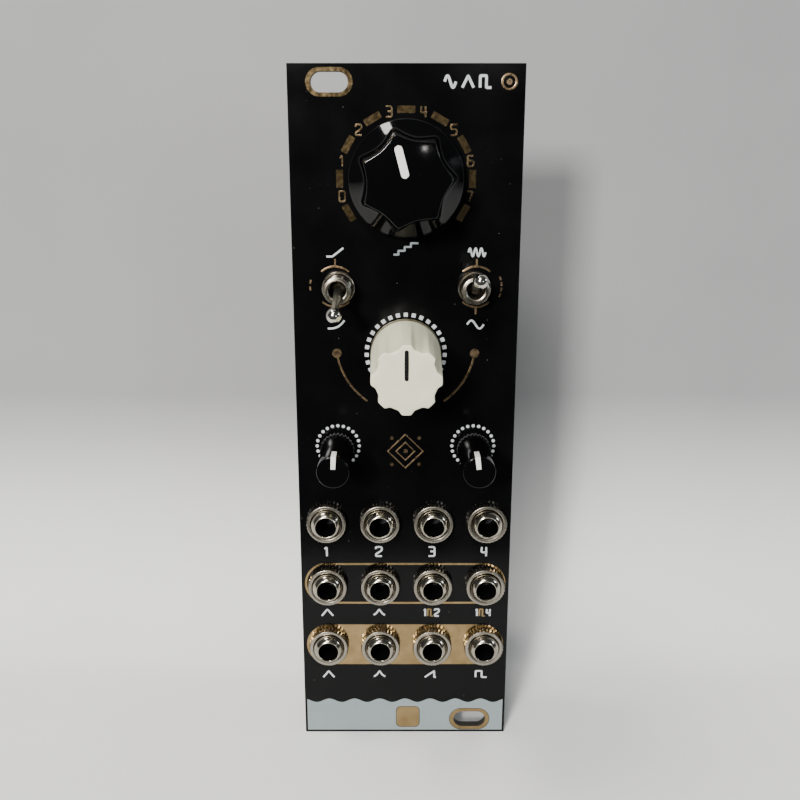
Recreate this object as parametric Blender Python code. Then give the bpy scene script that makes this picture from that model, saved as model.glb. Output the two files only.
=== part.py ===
"""A synthesiser module for a 3U rack: a panel with knobs, switches and jacks, and two boards behind it.

Units are metres. X runs to the right and Z up along the panel, and Y into the case. The origin is the
middle of the panel's lower edge, at half its thickness. "Out" is a height in front of the panel's front
face, so what lies behind that face has a negative one.
"""

from math import asin, cos, pi, radians, sin, sqrt

import bmesh
import bpy

# How pieces fit
SEAT_GAP = 0.0003
THREAD_GAP = 0.00015
RUNNING_GAP = 0.0002
OVERRUN = 0.001
MERGE_DISTANCE = 0.0000005

# Sides of round shapes
FINE_SIDES = 28
ROUND_SIDES = 20
SMALL_SIDES = 16

# Front panel, some rack units wide less a clearance to its neighbours
RACK_UNIT = 0.00508
PANEL_UNITS = 8
PANEL_CLEARANCE = 0.00034
PANEL_WIDTH = PANEL_UNITS * RACK_UNIT - PANEL_CLEARANCE
PANEL_HEIGHT = 0.1285
PANEL_THICKNESS = 0.0016
RAIL_STRIP = 0.010
SLOT_FROM_SIDE = 0.0071
SLOT_FROM_END = 0.0030
SLOT_LENGTH = 0.0064
SLOT_WIDTH = 0.0034
SLOT_END_STEPS = 8

# Boards behind the panel
BOARD_SIDE_MARGIN = 0.00065
BOARD_WIDTH = PANEL_WIDTH - 2 * BOARD_SIDE_MARGIN
BOARD_FOOT = 0.0100
BOARD_HEIGHT = 0.1085
BOARD_THICKNESS = 0.0016
PANEL_TO_BOARD = 0.0100
BOARD_TO_BOARD = 0.0110

# Jacks, in rows and columns
JACK_COLUMNS = 4
JACK_ROWS = 3
JACK_COLUMN_PITCH = PANEL_UNITS * RACK_UNIT / JACK_COLUMNS
JACK_ROW_PITCH = 0.01307
JACK_TOP_ROW = 0.0460
JACK_SHIFT = 0.00025
JACK_BUSHING_RADIUS = 0.00295
JACK_BUSHING_PROUD = 0.00315
JACK_DOME_HEIGHT = 0.00110
JACK_LIP_RADIUS = 0.00220
JACK_DOME_STEPS = 3
JACK_BORE_RADIUS = 0.00180
JACK_BORE_CHAMFER = 0.00026
JACK_HOLE_RADIUS = 0.00315
JACK_CASE_SPACING = 0.00116
JACK_CASE_WIDTH = JACK_COLUMN_PITCH - JACK_CASE_SPACING
JACK_CASE_ROW_SPACING = 0.00257
JACK_CASE_HEIGHT = JACK_ROW_PITCH - JACK_CASE_ROW_SPACING
JACK_CASE_DROP = 0.0006
JACK_CASE_WALL = 0.0012
JACK_NUT_RADIUS = 0.00385
JACK_NUT_THICKNESS = 0.0016
JACK_NUT_CHAMFER = 0.0004

# The two small potentiometers and their slim knobs
SMALL_FROM_SIDE = 0.0076
SMALL_COLUMN = PANEL_WIDTH / 2 - SMALL_FROM_SIDE
SMALL_ABOVE_JACKS = 0.01515
SMALL_HEIGHT = JACK_TOP_ROW + SMALL_ABOVE_JACKS
SMALL_LEFT_REST = radians(3)
SMALL_RIGHT_REST = radians(-7)
SMALL_CASE_SIDE = 0.0096
SMALL_BOSS_RADIUS = 0.0022
SMALL_HOLE_RADIUS = 0.0025
SMALL_SHAFT_RADIUS = 0.00175
SMALL_SHAFT_PROUD = 0.0125
SMALL_SHAFT_DEPTH = 0.0060
SMALL_KNOB_RADIUS = 0.0029
SMALL_KNOB_BASE_RADIUS = 0.0031
SMALL_KNOB_BASE_TOP = 0.0040
SMALL_KNOB_FOOT = 0.0008
SMALL_KNOB_TOP = 0.0150
SMALL_KNOB_BEVEL = 0.0002
SMALL_POINTER_WIDTH = 0.0009
SMALL_POINTER_DEPTH = 0.0003
SMALL_POINTER_DOWN = 0.0030
SMALL_POINTER_FROM_AXIS = 0.0005

# Tuning potentiometer, under the white knob
TUNE_ABOVE_SMALL = 0.01765
TUNE_HEIGHT = SMALL_HEIGHT + TUNE_ABOVE_SMALL
TUNE_CASE_WIDTH = 0.0098
TUNE_CASE_HEIGHT = 0.0112
TUNE_BUSHING_RADIUS = 0.0035
TUNE_BUSHING_PROUD = 0.0050
TUNE_HOLE_RADIUS = 0.0038
TUNE_SHAFT_RADIUS = 0.0030
TUNE_SHAFT_PROUD = 0.0160
TUNE_SHAFT_DEPTH = 0.0060
TUNE_WASHER_RADIUS = 0.0065
TUNE_WASHER_THICKNESS = 0.0006
TUNE_NUT_FLATS = 0.0090
TUNE_NUT_THICKNESS = 0.0020

# White knob: round at its foot, with eight lobes that deepen towards the top
TUNE_KNOB_LOBES = 8
TUNE_KNOB_STEPS = 8
TUNE_KNOB_FOOT = 0.0014
TUNE_KNOB_TOP = 0.0210
TUNE_KNOB_FOOT_RADIUS = 0.0063
TUNE_KNOB_FOOT_RIM = 0.0014
TUNE_KNOB_TOP_RADIUS = 0.0058
TUNE_KNOB_SCALLOP_RADIUS = 0.0013
TUNE_KNOB_SCALLOP_DEPTH = 0.0007
TUNE_KNOB_BEVEL = 0.00025
TUNE_KNOB_RECESS_RADIUS = 0.0055
TUNE_KNOB_RECESS_TOP = 0.0056
TUNE_POINTER_LENGTH = 0.0051
TUNE_POINTER_WIDTH = 0.00055
TUNE_POINTER_FROM_EDGE = 0.0008
TUNE_POINTER_DEPTH = 0.0004

# The two toggle switches
TOGGLE_LEFT_FROM_SIDE = 0.0082
TOGGLE_RIGHT_FROM_SIDE = 0.00805
TOGGLE_LEFT_COLUMN = TOGGLE_LEFT_FROM_SIDE - PANEL_WIDTH / 2
TOGGLE_RIGHT_COLUMN = PANEL_WIDTH / 2 - TOGGLE_RIGHT_FROM_SIDE
TOGGLE_ABOVE_TUNE = 0.0121
TOGGLE_HEIGHT = TUNE_HEIGHT + TOGGLE_ABOVE_TUNE
TOGGLE_LEAN = radians(12.6)
TOGGLE_HOLE_RADIUS = 0.0026
TOGGLE_BUSHING_RADIUS = 0.0024
TOGGLE_BUSHING_PROUD = 0.0060
TOGGLE_BUSHING_CHAMFER = 0.0003
TOGGLE_NUT_RADIUS = 0.0029
TOGGLE_NUT_THICKNESS = 0.0015
TOGGLE_NUT_CHAMFER = 0.0003
TOGGLE_FLANGE_THICKNESS = 0.0008
TOGGLE_CASE_WIDTH = 0.0052
TOGGLE_CASE_HEIGHT = 0.0082
TOGGLE_CAVITY_WIDTH = 0.0030
TOGGLE_CAVITY_HEIGHT = 0.0050
TOGGLE_CAVITY_DEPTH = 0.0030
TOGGLE_MOUTH_RADIUS = 0.00185
TOGGLE_THROAT_RADIUS = 0.00150
TOGGLE_TAIL_BORE_RADIUS = 0.00170
TOGGLE_PIVOT_OUT = 0.0010
TOGGLE_PIVOT_BALL = 0.0013
TOGGLE_STEM_RADIUS = 0.00062
TOGGLE_TAIL_LENGTH = 0.0046
TOGGLE_TIP_BALL = 0.0013
TOGGLE_LEVER_LENGTH = 0.0130
BALL_STEPS = 6

# Octave switch, the rotary switch under the large knob
OCTAVE_ABOVE_TOGGLE = 0.0187
OCTAVE_HEIGHT = TOGGLE_HEIGHT + OCTAVE_ABOVE_TOGGLE
OCTAVE_REST_ANGLE = radians(-15)
OCTAVE_CASE_RADIUS = 0.0085
OCTAVE_BUSHING_RADIUS = 0.0045
OCTAVE_BUSHING_PROUD = 0.0050
OCTAVE_HOLE_RADIUS = 0.0048
OCTAVE_SHAFT_RADIUS = 0.0030
OCTAVE_SHAFT_PROUD = 0.0135
OCTAVE_SHAFT_DEPTH = 0.0060
OCTAVE_SHAFT_FLAT = 0.0015
OCTAVE_NUT_FLATS = 0.0120
OCTAVE_NUT_THICKNESS = 0.0020

# Large knob: a round skirt below, and a body with seven corners and hollow sides
OCTAVE_KNOB_CORNERS = 7
OCTAVE_KNOB_STEPS = 8
OCTAVE_KNOB_FOOT = 0.0010
OCTAVE_KNOB_TOP = 0.0160
OCTAVE_KNOB_SKIRT_RADIUS = 0.0100
OCTAVE_KNOB_SKIRT_HEIGHT = 0.0012
OCTAVE_KNOB_LOW_CORNER = 0.0096
OCTAVE_KNOB_LOW_HOLLOW = 0.0094
OCTAVE_KNOB_HIGH_CORNER = 0.0074
OCTAVE_KNOB_HIGH_HOLLOW = 0.0063
OCTAVE_KNOB_FLARE_SHARES = (0, 0.1, 0.25, 0.5, 1)
OCTAVE_KNOB_FLARE_POWER = 4
OCTAVE_KNOB_BEVEL = 0.0005
OCTAVE_KNOB_DOME_RISE = 0.0004
OCTAVE_KNOB_DOME_SHARE = 0.6
OCTAVE_KNOB_RECESS_RADIUS = 0.0074
OCTAVE_KNOB_RECESS_STEP = 0.0030
OCTAVE_KNOB_NECK_RADIUS = 0.0050
OCTAVE_KNOB_RECESS_TOP = 0.0056
OCTAVE_POINTER_LENGTH = 0.0052
OCTAVE_POINTER_WIDTH = 0.0013
OCTAVE_POINTER_START = 0.0007
OCTAVE_POINTER_DEPTH = 0.0004

# Pillar and screws between the boards
PILLAR_HEIGHT = 0.0610
PILLAR_FLATS = 0.0050
PILLAR_BORE_RADIUS = 0.00165
PILLAR_BORE_DEPTH = 0.0080
SCREW_RADIUS = 0.0015
SCREW_LENGTH = 0.0060
SCREW_HEAD_RADIUS = 0.00275
SCREW_HEAD_HEIGHT = 0.0018
SCREW_HEAD_EDGE = 0.0006
SCREW_CROSS_LENGTH = 0.0030
SCREW_CROSS_WIDTH = 0.0007
SCREW_CROSS_DEPTH = 0.0010
SCREW_HOLE_RADIUS = 0.0017

# Pin strip and socket that join the boards
PIN_COUNT = 10
PIN_PITCH = 0.00254
PIN_SIDE = 0.00064
STRIP_FROM_SIDE = 0.0030
STRIP_COLUMN = STRIP_FROM_SIDE - BOARD_WIDTH / 2
STRIP_HEIGHT = 0.0840
STRIP_WIDTH = 0.0025
STRIP_THICKNESS = 0.0025
STRIP_PIN_LENGTH = 0.0060
SOCKET_HOLE_SIDE = 0.0011
SOCKET_FLOOR = 0.0008

# Power header on the back
POWER_HEIGHT = 0.0220
POWER_DEPTH = 0.0090
POWER_WALL = 0.0012
POWER_FLOOR = 0.0025
POWER_COLUMN_COUNT = 5
POWER_ROW_COUNT = 2
POWER_END_MARGIN = 0.00507
POWER_SIDE_MARGIN = 0.00318
POWER_LENGTH = (POWER_COLUMN_COUNT - 1) * PIN_PITCH + 2 * POWER_END_MARGIN
POWER_WIDTH = (POWER_ROW_COUNT - 1) * PIN_PITCH + 2 * POWER_SIDE_MARGIN
POWER_PIN_LENGTH = 0.0055
POWER_KEY_WIDTH = 0.0045

# Chips, capacitors and the tuning trimmer on the back
CORE_CHIP_PLACE = (0.0, 0.0840)
CORE_CHIP_SIDE = 0.0100
CORE_CHIP_THICKNESS = 0.0014
CAPACITOR_COLUMN = 0.0125
CAPACITOR_HEIGHT = 0.0360
CAPACITOR_RADIUS = 0.00315
CAPACITOR_LENGTH = 0.0077
CAPACITOR_BASE_LENGTH = 0.0012
CAPACITOR_NECK = 0.0002
CAPACITOR_EDGE = 0.0004
TRIMMER_PLACE = (0.0115, 0.0980)
TRIMMER_SIDE = 0.0068
TRIMMER_DEPTH = 0.0049
TRIMMER_WELL_RADIUS = 0.0022
TRIMMER_WELL_DEPTH = 0.0012
TRIMMER_ROTOR_RADIUS = 0.0019
TRIMMER_ROTOR_THICKNESS = 0.0011
TRIMMER_SLOT_WIDTH = 0.0006
TRIMMER_SLOT_DEPTH = 0.0005

# Places that follow from the sizes above
FRONT_FACE = -PANEL_THICKNESS / 2
PANEL_BACK = -PANEL_THICKNESS
CASE_FRONT = PANEL_BACK - SEAT_GAP
CONTROL_BOARD_FRONT = PANEL_BACK - PANEL_TO_BOARD
CONTROL_BOARD_BACK = CONTROL_BOARD_FRONT - BOARD_THICKNESS
CIRCUIT_BOARD_FRONT = CONTROL_BOARD_BACK - BOARD_TO_BOARD
CIRCUIT_BOARD_BACK = CIRCUIT_BOARD_FRONT - BOARD_THICKNESS
CASE_BACK = CONTROL_BOARD_FRONT + SEAT_GAP
BACK_SEAT = CIRCUIT_BOARD_BACK - SEAT_GAP


def clear_scene():
    for old in list(bpy.data.objects):
        bpy.data.objects.remove(old, do_unlink=True)


def finish(name, colour, roughness, metallic=0.0):
    made = bpy.data.materials.new(name)
    made.use_nodes = True
    made.diffuse_color = (*colour, 1.0)
    shader = made.node_tree.nodes["Principled BSDF"]
    shader.inputs["Base Color"].default_value = (*colour, 1.0)
    shader.inputs["Roughness"].default_value = roughness
    shader.inputs["Metallic"].default_value = metallic
    return made


# Shapes, each a bmesh in its piece's own frame

def closed(shape):
    bmesh.ops.remove_doubles(shape, verts=shape.verts[:], dist=MERGE_DISTANCE)
    bmesh.ops.recalc_face_normals(shape, faces=shape.faces[:])
    return shape


def turned(profile, sides, ring=False):
    """A solid turned about the out axis from (radius, out) points; a ring's profile closes on itself."""
    shape = bmesh.new()
    points = [shape.verts.new((0.0, -out, radius)) for radius, out in profile]
    ends = points[1:] + points[:1] if ring else points[1:]
    edges = [shape.edges.new(pair) for pair in zip(points, ends)]
    bmesh.ops.spin(
        shape, geom=points + edges, cent=(0, 0, 0), axis=(0, 1, 0), angle=2 * pi, steps=sides, use_merge=True
    )
    return closed(shape)


def rod(radius, low, high, sides):
    return turned([(0, low), (radius, low), (radius, high), (0, high)], sides)


def block(low, high):
    """A box between two (x, out, z) corners."""
    shape = bmesh.new()
    bmesh.ops.create_cube(shape, size=1)
    spans = [b - a for a, b in zip(low, high)]
    middle = [(a + b) / 2 for a, b in zip(low, high)]
    bmesh.ops.scale(shape, vec=spans, verts=shape.verts[:])
    bmesh.ops.translate(shape, vec=(middle[0], -middle[1], middle[2]), verts=shape.verts[:])
    return shape


def plate(width, height, low, high, centre=(0, 0)):
    """A box by its width and height about a centre in the panel's plane."""
    x, z = centre
    return block((x - width / 2, low, z - height / 2), (x + width / 2, high, z + height / 2))


def lofted(sections):
    """A solid skinned over (out, outline) sections with equal numbers of points, and capped at both ends."""
    shape = bmesh.new()
    rings = [[shape.verts.new((x, -out, z)) for x, z in outline] for out, outline in sections]
    for lower, upper in zip(rings, rings[1:]):
        for i in range(len(lower)):
            shape.faces.new((lower[i - 1], lower[i], upper[i], upper[i - 1]))
    shape.faces.new(rings[0])
    shape.faces.new(rings[-1])
    return closed(shape)


def prism(outline, low, high):
    return lofted([(low, outline), (high, outline)])


def hexagon(across_flats):
    corner = across_flats / 2 / cos(pi / 6)
    return [(corner * sin(i * pi / 3), corner * cos(i * pi / 3)) for i in range(6)]


def stadium(length, width, steps):
    """A slot's outline: two half rounds joined by straight sides, long along X."""
    radius = width / 2
    reach = length / 2 - radius
    right = [(reach + radius * sin(i * pi / steps), radius * cos(i * pi / steps)) for i in range(steps + 1)]
    return right + [(-x, -z) for x, z in right]


def moved(shape, x=0.0, z=0.0, out=0.0):
    bmesh.ops.translate(shape, vec=(x, -out, z), verts=shape.verts[:])
    return shape


def gathered(shapes):
    """Several separate shapes as one, to cut or to join them in one step."""
    whole = bmesh.new()
    for shape in shapes:
        kept = bpy.data.meshes.new("gathered")
        shape.to_mesh(kept)
        shape.free()
        whole.from_mesh(kept)
        bpy.data.meshes.remove(kept)
    return whole


def stand_in(name, shape):
    mesh = bpy.data.meshes.new(name)
    shape.to_mesh(mesh)
    shape.free()
    made = bpy.data.objects.new(name, mesh)
    bpy.context.scene.collection.objects.link(made)
    return made


def combined(shape, operation, tools):
    """The shape after a Boolean with the tools, as a new bmesh."""
    base = stand_in("base", shape)
    tool = stand_in("tool", gathered(tools))
    step = base.modifiers.new("combine", "BOOLEAN")
    step.operation = operation
    step.solver = "EXACT"
    step.object = tool
    bpy.context.view_layer.update()
    result = bmesh.new()
    result.from_object(base, bpy.context.evaluated_depsgraph_get())
    for old in (base, tool):
        mesh = old.data
        bpy.data.objects.remove(old, do_unlink=True)
        bpy.data.meshes.remove(mesh)
    return closed(result)


def cut(shape, *tools):
    return combined(shape, "DIFFERENCE", tools)


def joined(shape, *tools):
    return combined(shape, "UNION", tools)


def mesh_of(name, shape, look, sharp_angle=radians(35)):
    mesh = bpy.data.meshes.new(name)
    shape.to_mesh(mesh)
    shape.free()
    mesh.shade_smooth()
    mesh.set_sharp_from_angle(angle=sharp_angle)
    mesh.materials.append(look)
    return mesh


def placed(name, mesh, x=0.0, z=0.0, out=0.0, turn=(0, 0, 0), parent=None):
    """Puts a mesh at a place on the panel, or at its parent's place if it has one."""
    made = bpy.data.objects.new(name, mesh)
    bpy.context.scene.collection.objects.link(made)
    if parent:
        made.parent = parent
    else:
        made.location = (x, FRONT_FACE - out, z)
        made.rotation_euler = turn
    return made


def pivot(name, x, z, out=0.0, turn=(0, 0, 0)):
    """An empty on a joint's axis, which carries the pieces that move about it."""
    made = bpy.data.objects.new(name, None)
    bpy.context.scene.collection.objects.link(made)
    made.location = (x, FRONT_FACE - out, z)
    made.rotation_euler = turn
    return made


def jack_places():
    """Each jack's name, x and z, row by row from the top left."""
    for row in range(JACK_ROWS):
        for column in range(JACK_COLUMNS):
            x = (column - (JACK_COLUMNS - 1) / 2) * JACK_COLUMN_PITCH + JACK_SHIFT
            yield f"r{row + 1}_c{column + 1}", x, JACK_TOP_ROW - row * JACK_ROW_PITCH


def round_nut_shape(radius, bushing_radius, thickness, chamfer):
    """A round nut seated on the panel, with a chamfered front edge."""
    inner = bushing_radius + THREAD_GAP
    top = SEAT_GAP + thickness
    rim = [(radius, SEAT_GAP), (radius, top - chamfer), (radius - chamfer, top)]
    return turned([(inner, SEAT_GAP), *rim, (inner, top)], SMALL_SIDES, ring=True)


def hex_nut_shape(flats, bushing_radius, foot, thickness):
    bore = rod(bushing_radius + THREAD_GAP, foot - OVERRUN, foot + thickness + OVERRUN, ROUND_SIDES)
    return cut(prism(hexagon(flats), foot, foot + thickness), bore)


# Front panel

def build_panel(looks):
    sheet = block((-PANEL_WIDTH / 2, PANEL_BACK, 0), (PANEL_WIDTH / 2, 0, PANEL_HEIGHT))
    # the strips that lie on the rails get faces of their own
    for height in (RAIL_STRIP, PANEL_HEIGHT - RAIL_STRIP):
        whole = sheet.verts[:] + sheet.edges[:] + sheet.faces[:]
        bmesh.ops.bisect_plane(sheet, geom=whole, plane_co=(0, 0, height), plane_no=(0, 0, 1))
    low, high = PANEL_BACK - OVERRUN, OVERRUN
    slot = stadium(SLOT_LENGTH, SLOT_WIDTH, SLOT_END_STEPS)
    slot_x = PANEL_WIDTH / 2 - SLOT_FROM_SIDE
    tools = [
        moved(prism(slot, low, high), -slot_x, PANEL_HEIGHT - SLOT_FROM_END),
        moved(prism(slot, low, high), slot_x, SLOT_FROM_END),
        moved(rod(OCTAVE_HOLE_RADIUS, low, high, ROUND_SIDES), 0, OCTAVE_HEIGHT),
        moved(rod(TUNE_HOLE_RADIUS, low, high, ROUND_SIDES), 0, TUNE_HEIGHT),
    ]
    for x in (-SMALL_COLUMN, SMALL_COLUMN):
        tools.append(moved(rod(SMALL_HOLE_RADIUS, low, high, ROUND_SIDES), x, SMALL_HEIGHT))
    for x in (TOGGLE_LEFT_COLUMN, TOGGLE_RIGHT_COLUMN):
        tools.append(moved(rod(TOGGLE_HOLE_RADIUS, low, high, ROUND_SIDES), x, TOGGLE_HEIGHT))
    for _, x, z in jack_places():
        tools.append(moved(rod(JACK_HOLE_RADIUS, low, high, SMALL_SIDES), x, z))
    placed("front_panel", mesh_of("front_panel", cut(sheet, *tools), looks["panel"]))


# Jacks

def jack_shape():
    """A case open at its lower side, with the bushing that stands through the panel, bored for the plug."""
    top = JACK_CASE_HEIGHT / 2 - JACK_CASE_DROP
    foot = top - JACK_CASE_HEIGHT
    half = JACK_CASE_WIDTH / 2
    inner = half - JACK_CASE_WALL
    case = block((-half, CASE_BACK, foot), (half, CASE_FRONT, top))
    hollow = block(
        (-inner, CASE_BACK + JACK_CASE_WALL, foot - OVERRUN),
        (inner, CASE_FRONT - JACK_CASE_WALL, top - JACK_CASE_WALL),
    )
    dome_foot = JACK_BUSHING_PROUD - JACK_DOME_HEIGHT
    dome_reach = JACK_BUSHING_RADIUS - JACK_LIP_RADIUS
    root = CASE_FRONT - JACK_CASE_WALL / 2
    profile = [(0, root), (JACK_BUSHING_RADIUS, root)]
    for i in range(JACK_DOME_STEPS + 1):
        angle = i / JACK_DOME_STEPS * pi / 2
        profile.append((JACK_LIP_RADIUS + dome_reach * cos(angle), dome_foot + JACK_DOME_HEIGHT * sin(angle)))
    profile.append((0, JACK_BUSHING_PROUD))
    bore = turned(
        [
            (0, CASE_FRONT - JACK_CASE_WALL - OVERRUN),
            (JACK_BORE_RADIUS, CASE_FRONT - JACK_CASE_WALL - OVERRUN),
            (JACK_BORE_RADIUS, JACK_BUSHING_PROUD - JACK_BORE_CHAMFER),
            (JACK_BORE_RADIUS + 2 * JACK_BORE_CHAMFER, JACK_BUSHING_PROUD + JACK_BORE_CHAMFER),
            (0, JACK_BUSHING_PROUD + JACK_BORE_CHAMFER),
        ],
        SMALL_SIDES,
    )
    return cut(joined(cut(case, hollow), turned(profile, SMALL_SIDES)), bore)


def build_jacks(looks):
    jack = mesh_of("jack", jack_shape(), looks["black_case"])
    nut_shape = round_nut_shape(JACK_NUT_RADIUS, JACK_BUSHING_RADIUS, JACK_NUT_THICKNESS, JACK_NUT_CHAMFER)
    nut = mesh_of("jack_nut", nut_shape, looks["nickel"])
    for name, x, z in jack_places():
        placed(f"jack_{name}", jack, x, z)
        placed(f"jack_nut_{name}", nut, x, z)


# Knobs and what they turn

def cornered(corner, hollow):
    """An outline with sharp corners and hollow sides between them, one corner at the top."""
    half = pi / OCTAVE_KNOB_CORNERS
    points = []
    for side in range(OCTAVE_KNOB_CORNERS):
        middle = (2 * side + 1) * half
        for i in range(OCTAVE_KNOB_STEPS):
            share = 2 * i / OCTAVE_KNOB_STEPS - 1
            along = corner * sin(half) * share
            away = corner * cos(half) * share**2 + hollow * (1 - share**2)
            x = away * sin(middle) + along * cos(middle)
            points.append((x, away * cos(middle) - along * sin(middle)))
    return points


def lobed(radius, depth):
    """A round outline with a scallop cut between each two lobes, one lobe at the top."""
    count = TUNE_KNOB_LOBES * TUNE_KNOB_STEPS
    pitch = 2 * pi / TUNE_KNOB_LOBES
    centre = radius - depth + TUNE_KNOB_SCALLOP_RADIUS
    points = []
    for i in range(count):
        angle = 2 * pi * i / count
        from_valley = abs((angle / pitch) % 1 - 1 / 2) * pitch
        side = centre * sin(from_valley)
        reach = radius
        if abs(side) < TUNE_KNOB_SCALLOP_RADIUS:
            reach = min(radius, centre * cos(from_valley) - sqrt(TUNE_KNOB_SCALLOP_RADIUS**2 - side**2))
        points.append((reach * sin(angle), reach * cos(angle)))
    return points


def octave_case_shape():
    bore = OCTAVE_SHAFT_RADIUS + RUNNING_GAP
    floor_out = -OCTAVE_SHAFT_DEPTH - SEAT_GAP
    return turned(
        [
            (0, CASE_BACK),
            (OCTAVE_CASE_RADIUS, CASE_BACK),
            (OCTAVE_CASE_RADIUS, CASE_FRONT),
            (OCTAVE_BUSHING_RADIUS, CASE_FRONT),
            (OCTAVE_BUSHING_RADIUS, OCTAVE_BUSHING_PROUD),
            (bore, OCTAVE_BUSHING_PROUD),
            (bore, floor_out),
            (0, floor_out),
        ],
        FINE_SIDES,
    )


def octave_shaft_shape():
    """A round shaft, with a flat on the length that the knob's socket takes."""
    shaft = rod(OCTAVE_SHAFT_RADIUS, -OCTAVE_SHAFT_DEPTH, OCTAVE_SHAFT_PROUD, ROUND_SIDES)
    reach = OCTAVE_SHAFT_RADIUS + OVERRUN
    flat = block(
        (-reach, OCTAVE_KNOB_RECESS_TOP, OCTAVE_SHAFT_FLAT), (reach, OCTAVE_SHAFT_PROUD + OVERRUN, reach)
    )
    return cut(shaft, flat)


def octave_knob_shape():
    skirt_top = OCTAVE_KNOB_FOOT + OCTAVE_KNOB_SKIRT_HEIGHT
    face_foot = OCTAVE_KNOB_TOP - OCTAVE_KNOB_DOME_RISE
    skirt = cornered(OCTAVE_KNOB_SKIRT_RADIUS, OCTAVE_KNOB_SKIRT_RADIUS)
    face = cornered(OCTAVE_KNOB_HIGH_CORNER - OCTAVE_KNOB_BEVEL, OCTAVE_KNOB_HIGH_HOLLOW - OCTAVE_KNOB_BEVEL)
    sections = [(OCTAVE_KNOB_FOOT, skirt), (skirt_top, skirt)]
    flare_foot = skirt_top + OCTAVE_KNOB_BEVEL
    flare_top = face_foot - OCTAVE_KNOB_BEVEL
    for share in OCTAVE_KNOB_FLARE_SHARES:
        # the hollows run out towards the skirt in a curve, the corners in a straight line
        corner = OCTAVE_KNOB_LOW_CORNER + (OCTAVE_KNOB_HIGH_CORNER - OCTAVE_KNOB_LOW_CORNER) * share
        spread = (OCTAVE_KNOB_LOW_HOLLOW - OCTAVE_KNOB_HIGH_HOLLOW) * (1 - share) ** OCTAVE_KNOB_FLARE_POWER
        out = flare_foot + (flare_top - flare_foot) * share
        sections.append((out, cornered(corner, OCTAVE_KNOB_HIGH_HOLLOW + spread)))
    sections.append((face_foot, face))
    crown = [(OCTAVE_KNOB_DOME_SHARE * x, OCTAVE_KNOB_DOME_SHARE * z) for x, z in face]
    sections.append((OCTAVE_KNOB_TOP, crown))
    body = lofted(sections)
    recess = turned(
        [
            (0, OCTAVE_KNOB_FOOT - OVERRUN),
            (OCTAVE_KNOB_RECESS_RADIUS, OCTAVE_KNOB_FOOT - OVERRUN),
            (OCTAVE_KNOB_RECESS_RADIUS, OCTAVE_KNOB_RECESS_STEP),
            (OCTAVE_KNOB_NECK_RADIUS, OCTAVE_KNOB_RECESS_STEP),
            (OCTAVE_KNOB_NECK_RADIUS, OCTAVE_KNOB_RECESS_TOP),
            (0, OCTAVE_KNOB_RECESS_TOP),
        ],
        FINE_SIDES,
    )
    bore = OCTAVE_SHAFT_RADIUS + RUNNING_GAP
    socket_foot, socket_end = OCTAVE_KNOB_RECESS_TOP - OVERRUN, OCTAVE_SHAFT_PROUD + SEAT_GAP
    key = block(
        (-bore - OVERRUN, socket_foot - OVERRUN, OCTAVE_SHAFT_FLAT + RUNNING_GAP),
        (bore + OVERRUN, socket_end + OVERRUN, bore + OVERRUN),
    )
    socket = cut(rod(bore, socket_foot, socket_end, ROUND_SIDES), key)
    start = OCTAVE_POINTER_START
    groove = block(
        (-OCTAVE_POINTER_WIDTH / 2, OCTAVE_KNOB_TOP - OCTAVE_POINTER_DEPTH, start),
        (OCTAVE_POINTER_WIDTH / 2, OCTAVE_KNOB_TOP + OVERRUN, start + OCTAVE_POINTER_LENGTH),
    )
    return cut(cut(body, recess, groove), socket)


def build_octave(looks):
    case = mesh_of("octave_switch_case", octave_case_shape(), looks["black_case"])
    placed("octave_switch_case", case, 0, OCTAVE_HEIGHT)
    nut = hex_nut_shape(OCTAVE_NUT_FLATS, OCTAVE_BUSHING_RADIUS, SEAT_GAP, OCTAVE_NUT_THICKNESS)
    placed("octave_switch_nut", mesh_of("octave_switch_nut", nut, looks["nickel"]), 0, OCTAVE_HEIGHT)
    axis = pivot("octave_axis", 0, OCTAVE_HEIGHT, turn=(0, OCTAVE_REST_ANGLE, 0))
    shaft = mesh_of("octave_switch_shaft", octave_shaft_shape(), looks["shaft_metal"])
    placed("octave_switch_shaft", shaft, parent=axis)
    placed("octave_knob", mesh_of("octave_knob", octave_knob_shape(), looks["gloss_black"]), parent=axis)


def tune_case_shape():
    case = plate(TUNE_CASE_WIDTH, TUNE_CASE_HEIGHT, CASE_BACK, CASE_FRONT)
    bushing = rod(TUNE_BUSHING_RADIUS, CASE_FRONT - OVERRUN, TUNE_BUSHING_PROUD, ROUND_SIDES)
    bore_radius = TUNE_SHAFT_RADIUS + RUNNING_GAP
    bore = rod(bore_radius, -TUNE_SHAFT_DEPTH - SEAT_GAP, TUNE_BUSHING_PROUD + OVERRUN, ROUND_SIDES)
    return cut(joined(case, bushing), bore)


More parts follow.
